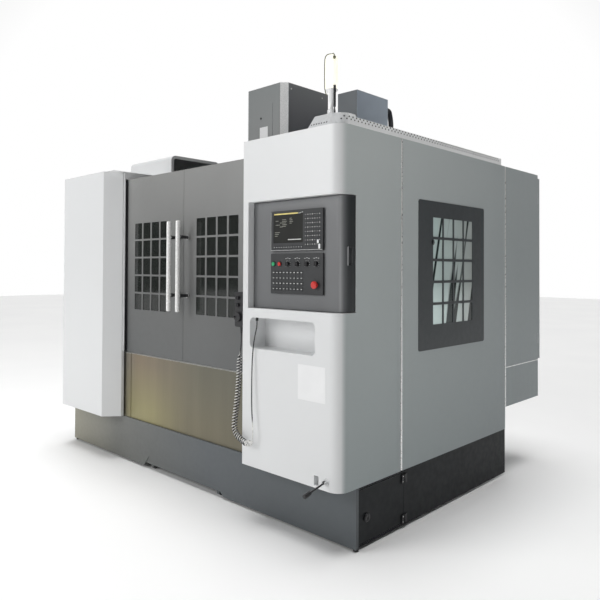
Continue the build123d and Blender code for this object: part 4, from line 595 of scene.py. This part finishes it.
def helix(route):
    """Turns round the smooth line of the route, drawn out at both ends."""
    line = read_line([at(*point) for point in route])
    lengths = [0.0]
    for start, end in zip(line, line[1:]):
        lengths.append(lengths[-1] + (end - start).length)
    total = lengths[-1]
    step = CURL_PITCH / STEPS_PER_TURN
    side = Vector((1, 0, 0))
    points = []
    angle = last_angle = 0.0
    last_place = 0.0
    index = 0
    for count in range(1, int(total / step)):
        place = count * step
        while index < len(lengths) - 2 and lengths[index + 1] < place:
            index += 1
        span = lengths[index + 1] - lengths[index]
        direction = (line[index + 1] - line[index]).normalized()
        centre = line[index].lerp(line[index + 1], (place - lengths[index]) / span)
        side = (side - direction * side.dot(direction)).normalized()
        other = direction.cross(side)
        fade = eased(min(place, total - place) / CURL_END)
        angle += 2 * math.pi * fade * step / CURL_PITCH
        turned_enough = angle - last_angle >= 2 * math.pi / POINTS_PER_TURN
        if turned_enough or place - last_place >= LONGEST_GAP:
            radius = CURL_RADIUS * fade
            points.append(centre + side * (radius * math.cos(angle)) + other * (radius * math.sin(angle)))
            last_angle = angle
            last_place = place
    return points


def make_cord():
    points = [at(*p) for p in UPPER[:-1]] + helix(CURL) + [at(*p) for p in LOWER[1:]]
    cord = nurbs("cord", points, CORD_DIAMETER / 2)
    cord.data.materials.append(CORD)
    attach(cord, "machine")
    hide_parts("pendant_lead", "curly_cord", "pocket_lead")


make_cord()


# Helpers for the small pieces; their sizes are in millimetres

def new_piece(name, shape, material, body, smooth=False):
    mesh = bpy.data.meshes.new(name)
    bmesh.ops.recalc_face_normals(shape, faces=shape.faces)
    shape.to_mesh(mesh)
    shape.free()
    mesh.materials.append(material)
    if smooth:
        mesh.shade_smooth()
    piece = bpy.data.objects.new(name, mesh)
    scene.collection.objects.link(piece)
    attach(piece, body)
    return piece


def add_block(shape, low, high, bevel=0.0):
    """Block between two corners, with its edges broken if asked."""
    corner = at(*low)
    size = at(*high) - corner
    matrix = Matrix.Translation(corner + size / 2) @ Matrix.Diagonal((*size, 1))
    corners = bmesh.ops.create_cube(shape, size=1, matrix=matrix)["verts"]
    if bevel:
        edges = list({edge for vert in corners for edge in vert.link_edges})
        bmesh.ops.bevel(shape, geom=edges, offset=bevel / 1000, segments=2, affect="EDGES")


def add_ring(shape, centre, side, other, radius, steps):
    """Ring of vertices round a centre, or a single one if the radius is 0."""
    ring = []
    for index in range(steps if radius else 1):
        angle = 2 * math.pi * index / steps
        reach = side * math.cos(angle) + other * math.sin(angle)
        ring.append(shape.verts.new(centre + reach * (radius / 1000)))
    return ring


def join_rings(shape, rings, steps):
    for low, high in zip(rings, rings[1:]):
        for index in range(steps):
            after = (index + 1) % steps
            corners = [low[index % len(low)], low[after % len(low)],
                       high[after % len(high)], high[index % len(high)]]
            shape.faces.new(list(dict.fromkeys(corners)))


def add_turned(shape, profile, centre, axis, steps=24):
    """Turned solid; the profile gives radius and height along the axis."""
    axis = Vector(axis)
    side = axis.orthogonal().normalized()
    other = axis.cross(side)
    rings = [add_ring(shape, at(*centre) + axis * (height / 1000), side, other, radius, steps)
             for radius, height in profile]
    join_rings(shape, rings, steps)


def add_tube(shape, points, radius, steps=10):
    """Round wire along a line of points."""
    line = [at(*point) for point in points]
    side = (line[1] - line[0]).orthogonal().normalized()
    rings = []
    for index, point in enumerate(line):
        direction = (line[min(index + 1, len(line) - 1)] - line[max(index - 1, 0)]).normalized()
        side = (side - direction * side.dot(direction)).normalized()
        rings.append(add_ring(shape, point, side, direction.cross(side), radius, steps))
    join_rings(shape, rings, steps)
    shape.faces.new(rings[0])
    shape.faces.new(rings[-1])


def blocks(name, boxes, material, body, bevel=0.0):
    shape = bmesh.new()
    for low, high in boxes:
        add_block(shape, low, high, bevel)
    return new_piece(name, shape, material, body)


def turned(name, profile, places, axis, material, body, steps=24):
    shape = bmesh.new()
    for place in places:
        add_turned(shape, profile, place, axis, steps)
    return new_piece(name, shape, material, body, True)


# Small pieces on the machine

INK = 0.3
DISPLAY_LEFT = 998
DISPLAY_BOTTOM = 1568
DISPLAY_TOP = 1792
DISPLAY_FACE = HOUSING_FACE - 14
GLASS_BACK = DISPLAY_FACE + 3
GLASS_FACE = GLASS_BACK - 1.5
KEY_TOP = DISPLAY_FACE - 1.5
KEY_FACE = HOUSING_FACE - 12
KEY_HEIGHT = 2
KNOB_ROW = 1496
KNOBS = (1136, 1208, 1280, 1348)
BUTTONS = (1024, 1072)
SCALE_RADIUS = 0.0185
SCALE_STEP = 33
HATCH_FACE = 1527
HATCH_PLUG = (233, 157)
HINGE_HEIGHTS = (51, 279)
FOOT_PLACE = (1519, 158)
HANDLE_SIDES = {"left_door": -55, "right_door": 51}
SLEEVE_HEIGHTS = (1284, 1683)
HEAD_FACE = 898
HEAD_SIDE = 227
LATCH = (868, 1634)
SEAM_FOOT = 336
REAR_SEAM_FOOT = 492
SEAM_TOP = 2210
HOLE_PITCH = 30
FIRST_HOLE = 112
HOLES = 55
PLINTH_FRONT = 8
PLINTH_HEIGHT = 68
PLINTH_LEAN = 32


def make_screen():
    """Screen with plain fields of light."""
    x0 = DISPLAY_LEFT
    z1 = DISPLAY_TOP
    lit = GLASS_FACE - INK
    blocks("screen", [((x0 + 25, GLASS_FACE, DISPLAY_BOTTOM + 45), (x0 + 251, GLASS_BACK, z1 - 13))],
           SCREEN, "machine", 0.6)
    blocks("screen_bar", [((x0 + 28, lit, z1 - 21.5), (x0 + 214, GLASS_FACE, z1 - 14.5))],
           YELLOW, "machine", 0.1)
    rows = [(x0 + 40 + 34 * (row % 2), z1 - 58 - 11 * row, 22 + 7 * (row % 3)) for row in range(4)]
    rows += [(x0 + 92, z1 - 52 - 9 * row, 30 + 6 * (row % 2)) for row in range(5)]
    rows += [(x0 + 150, z1 - 46 - 9 * row, 16 + 5 * (row % 3)) for row in range(4)]
    rows += [(x0 + 34, z1 - 122 - 10 * row, 40 - 9 * row) for row in range(3)]
    blocks("screen_rows", [((x, lit, z), (x + width, GLASS_FACE, z + 3.5)) for x, z, width in rows],
           FAINT, "machine")
    bright = [((x0 + 138, lit, DISPLAY_BOTTOM + 60), (x0 + 238, GLASS_FACE, DISPLAY_BOTTOM + 65))]
    for step in range(3):
        x = x0 + 218 + 12 * step
        z = z1 - 21 + 2 * step
        bright.append(((x, lit, z), (x + 8, GLASS_FACE, z + 4)))
    blocks("screen_lines", bright, PRINT, "machine")


def make_display_keys():
    """Pale marks on the keys beside and below the screen, port caps and a bright edge."""
    x0 = DISPLAY_LEFT
    marks = []
    for column in range(7):
        for row in range(8):
            half_width = (3 + (3 * column + 5 * row) % 5) / 2
            half_height = (2.5 + (column + 2 * row) % 4) / 2
            x = x0 + 273 + 17 * column
            z = DISPLAY_TOP - 30 - 23 * row
            marks.append(((x - half_width, KEY_TOP - INK, z - half_height),
                          (x + half_width, KEY_TOP, z + half_height)))
    for column in range(12):
        x = x0 + 33.5 + 19 * column
        marks.append(((x - 3, KEY_TOP - INK, DISPLAY_BOTTOM + 19), (x + 3, KEY_TOP, DISPLAY_BOTTOM + 22)))
    blocks("key_marks", marks, PRINT, "machine")
    blocks("port_caps", [
        ((x0 + 357, DISPLAY_FACE - 4, DISPLAY_BOTTOM + 38), (x0 + 370, DISPLAY_FACE, DISPLAY_BOTTOM + 56)),
        ((x0 + 366, DISPLAY_FACE - 3, DISPLAY_BOTTOM + 8), (x0 + 380, DISPLAY_FACE, DISPLAY_BOTTOM + 34)),
    ], PLATE, "machine", 1.4)
    edge = DISPLAY_FACE - 0.6
    blocks("display_edge", [
        ((x0 + 3, edge, DISPLAY_BOTTOM + 3), (x0 + 393, DISPLAY_FACE, DISPLAY_BOTTOM + 5)),
        ((x0 + 3, edge, DISPLAY_BOTTOM + 5), (x0 + 5, DISPLAY_FACE, DISPLAY_TOP - 4)),
    ], PRINT, "machine", 0.2)


def make_key_panel_marks():
    """Scales round the knobs, plain marks on the keys below and rings round the buttons."""
    shape = bmesh.new()
    for x in KNOBS:
        for tick in range(-4, 5):
            angle = math.radians(tick * SCALE_STEP)
            direction = Vector((math.sin(angle), 0, math.cos(angle)))
            along_tick = Matrix.Rotation(angle, 4, "Y")
            centre = at(x, KEY_FACE - INK / 2, KNOB_ROW) + direction * SCALE_RADIUS
            size = Matrix.Diagonal((0.0016, 0.0003, 0.005, 1))
            bmesh.ops.create_cube(shape, size=1, matrix=Matrix.Translation(centre) @ along_tick @ size)
        for step in range(3):
            left = x - 20 + 15 * step
            low = KNOB_ROW + 28 + 3 * (step % 2)
            add_block(shape, (left, KEY_FACE - INK, low), (left + 9, KEY_FACE, low + 3))
    key_top = KEY_FACE - KEY_HEIGHT
    for column in range(9):
        for row in range(4):
            x = DISPLAY_LEFT + 26 + 27 * column
            z = 1358 + 30 * row
            add_block(shape, (x - 5, key_top - INK, z - 1.5), (x + 5, key_top, z + 1.5 + row % 2))
    new_piece("key_panel_marks", shape, PRINT, "machine")
    ring = [(12.5, 0), (16, 0), (16, -2.5), (12.5, -2.5), (12.5, 0)]
    turned("button_rings", ring, [(x, KEY_FACE, KNOB_ROW) for x in BUTTONS], (0, 1, 0),
           BLACK, "machine", 32)


def make_front_details():
    """Blank plate, seals, trims, pale strips painted as the highlight on the apron's top fold, and the
    sleeves of the door handles.
    """
    blocks("cabinet_plate", [((1247, -0.8, 775), (1442, 0, 961))], PLATE, "machine", 0.3)
    blocks("jamb_seal", [((LEFT_JAMB, 137, JAMB_FOOT), (LEFT_JAMB + 13, DOOR_FACE - 0.4, 2150))],
           BLACK, "machine", 1.5)
    blocks("jamb_edge", [((LEFT_JAMB, 116, JAMB_FOOT), (LEFT_JAMB + 10, 131.5, 2208))],
           PLATE, "machine", 4.5)
    blocks("jamb_top", [
        ((LEFT_JAMB, 132.5, 2159), (LEFT_JAMB + 3, 250, PANEL_TOP)),
        ((LEFT_JAMB, 250, 2152), (LEFT_JAMB + 3, 1100, PANEL_TOP)),
    ], PLATE, "machine", 0.5)
    # Painted highlight: pale strips along the apron's top fold.
    blocks("apron_painted_highlight", [
        ((LEFT_JAMB + 78, DOOR_FACE - 0.8, APRON_TOP), (CABINET_LEFT, DOOR_FACE, APRON_TOP + 2)),
        ((LEFT_JAMB + 2, DOOR_FACE - 4.8, APRON_TOP), (LEFT_JAMB + 77, DOOR_FACE - 4, APRON_TOP + 2)),
    ], PRINT, "machine", 0.3)
    sleeve = [(9.3, 0), (13, 1), (13, 20), (11, 24), (11, 62), (16.5, 66), (16.5, 70), (9.3, 70),
              (9.3, 0)]
    for body, side in HANDLE_SIDES.items():
        turned("handle_sleeves_" + body, sleeve, [(side, 79.5, z) for z in SLEEVE_HEIGHTS],
               (0, 1, 0), BLACK, body)


def make_head_details():
    """Blank plate, lock and screws on the head's sheet cover."""
    blocks("head_plate", [((-43, HEAD_FACE - 0.8, 2490), (48, HEAD_FACE, 2578))],
           PLATE, "head", 0.3)
    lock = [(0, 0), (8, 0), (8, -3), (6.5, -4), (0, -4)]
    turned("head_lock", lock, [(-30, HEAD_FACE, 2650)], (0, 1, 0), BLACK, "head")
    screw = [(0, 0), (6, 0), (5, 2.4), (0, 3)]
    places = [(HEAD_SIDE, y, 2850) for y in (975, 1330)]
    turned("head_screws", screw, places, (1, 0, 0), BRIGHT, "head", 16)


def make_roof_details():
    """Rows of holes along the lip, round its corner and across the plinth's front."""
    hole = [(0, 0), (4.5, 0), (4.5, 0.4), (0, 0.4)]
    radius = CORNER - ROOF_FRONT
    shape = bmesh.new()
    for row in range(2):
        z = PANEL_TOP + 26 + 13 * row
        for step in range(row - 3, HOLES):
            run = FIRST_HOLE + HOLE_PITCH * step - HOLE_PITCH / 2 * row
            turn = max(0.0, CORNER - run) / radius
            x = HALF - radius * (1 - math.cos(turn))
            y = max(run, CORNER) - radius * math.sin(turn)
            add_turned(shape, hole, (x, y, z), (math.cos(turn), -math.sin(turn), 0), 8)
    rise = Vector((0, -PLINTH_HEIGHT, PLINTH_LEAN)).normalized()
    height = 19
    y = PLINTH_FRONT + PLINTH_LEAN * height / PLINTH_HEIGHT
    for step in range(7):
        add_turned(shape, hole, (HALF - 218 + 18 * step, y, PANEL_TOP + height), rise, 8)
    new_piece("lip_holes", shape, BLACK, "machine", True)


def make_base_details():
    """Hatch fittings and the feet under the front corners of the skirt."""
    x = HATCH_FACE
    plug = [(0, 7), (19, 7), (23, 7.4), (23, 9), (20, 12), (8, 12.5), (7, 10.5), (0, 10.5)]
    turned("hatch_plug", plug, [(x, *HATCH_PLUG)], (1, 0, 0), BLACK, "base_hatch", 32)
    leaves = [((x + 5.8, 556, z - 25), (x + 8, 577, z + 25)) for z in HINGE_HEIGHTS]
    blocks("hatch_hinge_leaves", leaves, BLACK, "base_hatch", 0.6)
    screw = [(0, 0), (3.5, 0), (3, 1.6), (0, 2)]
    places = [(x + 8, 567, z + dz) for z in HINGE_HEIGHTS for dz in (-15, 15)]
    turned("hatch_hinge_screws", screw, places, (1, 0, 0), BRIGHT, "base_hatch", 12)
    foot = [(0, 0), (15, 0), (15, 9), (12, 12), (12, 15), (0, 15)]
    places = [(side * FOOT_PLACE[0], FOOT_PLACE[1], 0) for side in (-1, 1)]
    turned("corner_foot", foot, places, (0, 0, 1), BLACK, "machine")


def make_side_details():
    """Latch of the side window, and bright beads in the seams of the side that stand in for the highlight
    along the seams' rounded edges.
    """
    latch = [(0, 0), (17, 0), (17, -4), (0, -4)]
    turned("window_latch", latch, [(HALF + 3, *LATCH)], (1, 0, 0), FRAME, "machine")
    shape = bmesh.new()
    # Beads standing in for the highlights along the two upright seams and the low seam at the rear.
    add_block(shape, (HALF - 5, 536.5, SEAM_FOOT), (HALF + 2.4, 547.5, SEAM_TOP), 2.4)
    add_block(shape, (HALF - 5, 1839, REAR_SEAM_FOOT), (HALF + 2.4, 1850, SEAM_TOP), 2.4)
    add_block(shape, (HALF - 1, 1852, 766), (HALF + 2, 2404, 771), 1.0)
    new_piece("seam_glint_beads", shape, SEAM_GLINT, "machine")


def make_lamp():
    """Lens and pole of the signal lamp, the bar beside them and the wire guard."""
    low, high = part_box("lamp_lens")
    x = (low[0] + high[0]) * 500
    y = (low[1] + high[1]) * 500 + MIDDLE_Y
    foot = low[2] * 1000
    lens = [(0, 0), (26, 0), (32, 5), (34.5, 14), (35, 120), (34, 158), (30, 173), (21, 182), (10, 185),
            (0, 185.5)]
    piece = turned("signal_lens", lens, [(x, y, foot)], (0, 0, 1), LENS, "machine", 40)
    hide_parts("lamp_lens")
    pole_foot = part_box("lamp_pole")[0][2] * 1000 - foot
    pole = [(0, pole_foot), (23, pole_foot), (23, pole_foot + 28), (20, pole_foot + 32),
            (9, pole_foot + 36), (10, pole_foot + 60), (18, -18), (31, -5), (33, 0), (30, 2), (0, 2)]
    piece = turned("signal_pole", pole, [(x, y, foot)], (0, 0, 1), PLATE, "machine", 40)
    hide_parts("lamp_pole")
    bar = (x + 35.7, y - 17.7)
    boxes = []
    for half, bottom, top in ((5.3, foot - 100, foot + 15), (3, foot + pole_foot, foot - 99)):
        boxes.append(((bar[0] - half, bar[1] - half, bottom), (bar[0] + half, bar[1] + half, top)))
    blocks("lamp_bar", boxes, DARK, "machine", 1.5)
    knob_place = (x + 33, y - 18, foot + 163)
    out = (0.723, 0.691)
    reach = [(27, -30), (33, -14), (37, 4), (38, 60), (38, 130), (37, 163), (33, 177), (25, 187),
             (13, 191), (0, 191)]
    line = [(x - out[0] * side, y - out[1] * side, foot + height) for side, height in reach]
    line += [(x + 14, y - 6, foot + 190), (x + 25, y - 12, foot + 183), (x + 33, y - 18, foot + 172)]
    shape = bmesh.new()
    add_tube(shape, line, 2.6)
    knob = [(0, -10), (5, -9), (8, -4), (8, 3), (5, 8), (0, 9)]
    add_turned(shape, knob, knob_place, (0, 0, 1), 16)
    new_piece("lamp_guard", shape, WIRE, "machine", True)


make_screen()
make_display_keys()
make_key_panel_marks()
make_front_details()
make_head_details()
make_roof_details()
make_base_details()
make_side_details()
make_lamp()


# Floor and light

FLOOR_HALF = 30.0
WORLD_DARK = 0.05
WORLD_LIGHT = 1.0
BRIGHT_SIDE = (-0.69, 0.72, 0)
SUN_POWER = 2.3
SUN_ANGLE = 0.6


def make_floor():
    size = FLOOR_HALF
    corners = [(-size, -size, 0), (size, -size, 0), (size, size, 0), (-size, size, 0)]
    mesh = bpy.data.meshes.new("floor")
    mesh.from_pydata(corners, [], [(0, 1, 2, 3)])
    floor = bpy.data.objects.new("floor", mesh)
    scene.collection.objects.link(floor)
    material, tree, shader = new_material("pale_floor")
    tone = ramp(tree, noise(tree, 0.6, 3.0), (0.90, 0.90, 0.90), (0.93, 0.93, 0.925))
    tree.links.new(tone, shader.inputs["Base Color"])
    shader.inputs["Roughness"].default_value = 0.6
    mesh.materials.append(material)


def area_light(name, where, target, size, power):
    data = bpy.data.lights.new(name, "AREA")
    data.shape = "RECTANGLE"
    data.size, data.size_y = size
    data.energy = power
    light = bpy.data.objects.new(name, data)
    light.location = where
    light.rotation_euler = (Vector(target) - Vector(where)).to_track_quat("-Z", "Y").to_euler()
    scene.collection.objects.link(light)


def make_sun():
    sun = bpy.data.lights.new("top", "SUN")
    sun.energy = SUN_POWER
    sun.angle = SUN_ANGLE
    scene.collection.objects.link(bpy.data.objects.new("top", sun))


def make_world():
    """Soft studio light, brightest on the side behind the machine."""
    world = bpy.data.worlds.new("studio")
    world.use_nodes = True
    tree = world.node_tree
    coords = tree.nodes.new("ShaderNodeTexCoord")
    level = reach_over(tree, share_of(tree, coords.outputs["Generated"], BRIGHT_SIDE),
                       0.45, 0.86, WORLD_DARK, WORLD_LIGHT)
    tree.links.new(level, tree.nodes["Background"].inputs["Color"])
    scene.world = world


make_floor()
make_world()
area_light("key", (-3.0, -8.4, 4.4), (0, -1, 1.3), (5.0, 4.0), 385)
area_light("fill", (5.6, -5.6, 3.4), (1.4, -0.9, 1.8), (2.0, 2.0), 22)
make_sun()
scene.view_settings.view_transform = "Standard"
